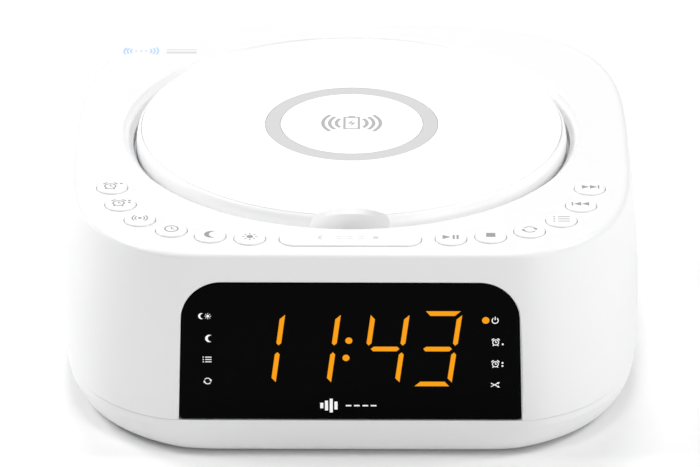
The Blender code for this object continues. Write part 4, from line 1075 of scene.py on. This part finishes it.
def make_button_icon(node, centre, cap_top):
    if node == "snooze_bar":
        shapes = scaled([crescent(0.0, 0.0, 1.0)], 1.6, (-10.0, 0.0))
        shapes += [bar((u, v), (u + 1.8, v), 0.5) for v in (-0.9, 0.9) for u in (-5.0, -1.0, 3.0)]
        shapes.append(disc(9.0, 0.0, 1.1))
        finish = PRINT_FAINT
    else:
        shapes = scaled(BUTTON_ICONS[node.removeprefix("button_")], BUTTON_ICON_SIZE)
        finish = PRINT_GREY
    print_shapes(node + "_mark", shapes,
                 lambda u, v, height: (centre[0] + u, centre[1] + v, cap_top + height),
                 finish, node)


# -------- smaller visible pieces

def make_feet():
    top = FLOOR_Z + FOOT_RECESS - GAP
    profile = rounded([(0.0, top), (FOOT_RADIUS, top), (FOOT_RADIUS, 0.0),
                       (FOOT_RADIUS - 1.6, 0.0), (FOOT_RADIUS - 2.0, 0.3), (0.0, 0.3)],
                      [0.0, 0.6, 0.0, 0.0])
    for corner, centre in zip(CORNERS, FEET):
        name = "foot_" + corner
        foot = build(name + "_pad", add_turned(bmesh.new(), profile, centre, 72))
        dress(foot, RUBBER, "radio_body", [name])


def make_screws():
    head_top = SCREW_HEAD_Z + SCREW_HEAD_HEIGHT
    profile = rounded([(0.0, head_top - 0.4 + SCREW_LENGTH),
                       (SCREW_SHANK_RADIUS, head_top - 1.6 + SCREW_LENGTH),
                       (SCREW_SHANK_RADIUS, head_top), (SCREW_HEAD_RADIUS, head_top),
                       (SCREW_HEAD_RADIUS, SCREW_HEAD_Z), (0.0, SCREW_HEAD_Z)],
                      [0.0, 0.0, 0.1, 0.7])
    for corner, (x, y) in zip(CORNERS, POSTS):
        name = "case_screw_" + corner
        screw = build(name + "_fine", add_turned(bmesh.new(), profile, (x, y), 48))
        for long_x, long_y in ((1.7, 0.35), (0.35, 1.7)):
            slot = add_box(bmesh.new(), (x - long_x, y - long_y, SCREW_HEAD_Z - 1.0),
                           (x + long_x, y + long_y, SCREW_HEAD_Z + 1.0))
            cut(screw, slot)
        dress(screw, STEEL, "radio_body", [name])


def make_battery_door():
    profile = rounded([(0.0, FLOOR_Z + 2.3), (CELL_DOOR_RADIUS, FLOOR_Z + 2.3),
                       (CELL_DOOR_RADIUS, FLOOR_Z + 0.1), (0.0, FLOOR_Z + 0.1)], [0.2, 0.4])
    door = build("battery_door_disc", add_turned(bmesh.new(), profile, (0.0, CELL_Y), 96))
    slot = cap_outline((0.0, CELL_Y), 7.0, 0.9, 24)
    rings = [at_height(slot, z) for z in (0.0, FLOOR_Z + 1.0)]
    cut(door, add_loft(bmesh.new(), rings))
    dress(door, CASE_WHITE, "cell_door", ["battery_door"])


def make_hub():
    seat = DISC_SEAT_Z
    profile = rounded([(0.0, seat + 4.0), (5.4, seat + 4.0), (7.2, seat + 2.2), (7.2, seat),
                       (13.0, seat), (13.0, seat - 2.0), (5.0, seat - 2.0), (4.0, seat - 5.0),
                       (1.3, seat - 5.0), (1.3, seat - 1.6), (0.0, seat - 1.6)],
                      [0.8, 0.6, 0.0, 0.3, 0.2, 0.0, 0.0, 0.0, 0.0])
    hub = build("disc_hub", add_turned(bmesh.new(), profile, steps=96))
    dress(hub, BLACK_PLASTIC, "turntable", ["turntable_hub"])


def make_pickup_lens():
    """The small glass dome in the laser head, on the highest face of the pickup."""
    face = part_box("laser_pickup")[1][2] / MM
    foot = face - PICKUP_LENS_SINK
    profile = [(0.0, foot), (PICKUP_LENS_RADIUS, foot)]
    profile += [(PICKUP_LENS_RADIUS * across, face + PICKUP_LENS_RISE * up)
                for across, up in arc((0.0, 0.0), 1.0, 0.0, 90.0, 10)]
    lens = build("pickup_lens", add_turned(bmesh.new(), profile, (0.0, PICKUP_LENS_Y), 64))
    dress(lens, LASER_GLASS, "pickup")


# -------- CAD nodes that stay

KEPT_FINISHES = [
    (STEEL, ["hinge_pin_left", "hinge_pin_right", "usb_port", "backup_cell", "mechanism_chassis",
             "guide_rod_left", "guide_rod_right", "spindle_motor", "sled_motor"]),
    (COPPER, ["charging_coil"]),
    (FERRITE, ["coil_shield"]),
    (BOARD_GREEN, ["charger_board", "key_board", "display_board", "main_board"]),
    (AMBER_PANEL, ["led_display"]),
    (BLACK_PLASTIC, ["speaker_left", "speaker_right", "dc_jack", "aux_jack", "lid_sensor",
                     "laser_pickup"]),
    (GEAR_PLASTIC, ["sled_gear", "sled_pinion"]),
    (RUBBER, ["isolator_front", "isolator_rear_left", "isolator_rear_right"]),
]


def finish_kept_nodes():
    for material, names in KEPT_FINISHES:
        for name in names:
            node = NODES[name]
            node.data.materials.clear()
            node.data.materials.append(material)


add_camera()
add_studio()
make_upper_case()
make_base_case()
make_display_lens()
make_digits()
make_lens_marks()
make_lid_cover()
make_lid_liner()
make_charging_ring()
make_charging_mark()
make_wireless_mark()
make_buttons()
make_feet()
make_screws()
make_battery_door()
make_hub()
make_pickup_lens()
finish_kept_nodes()
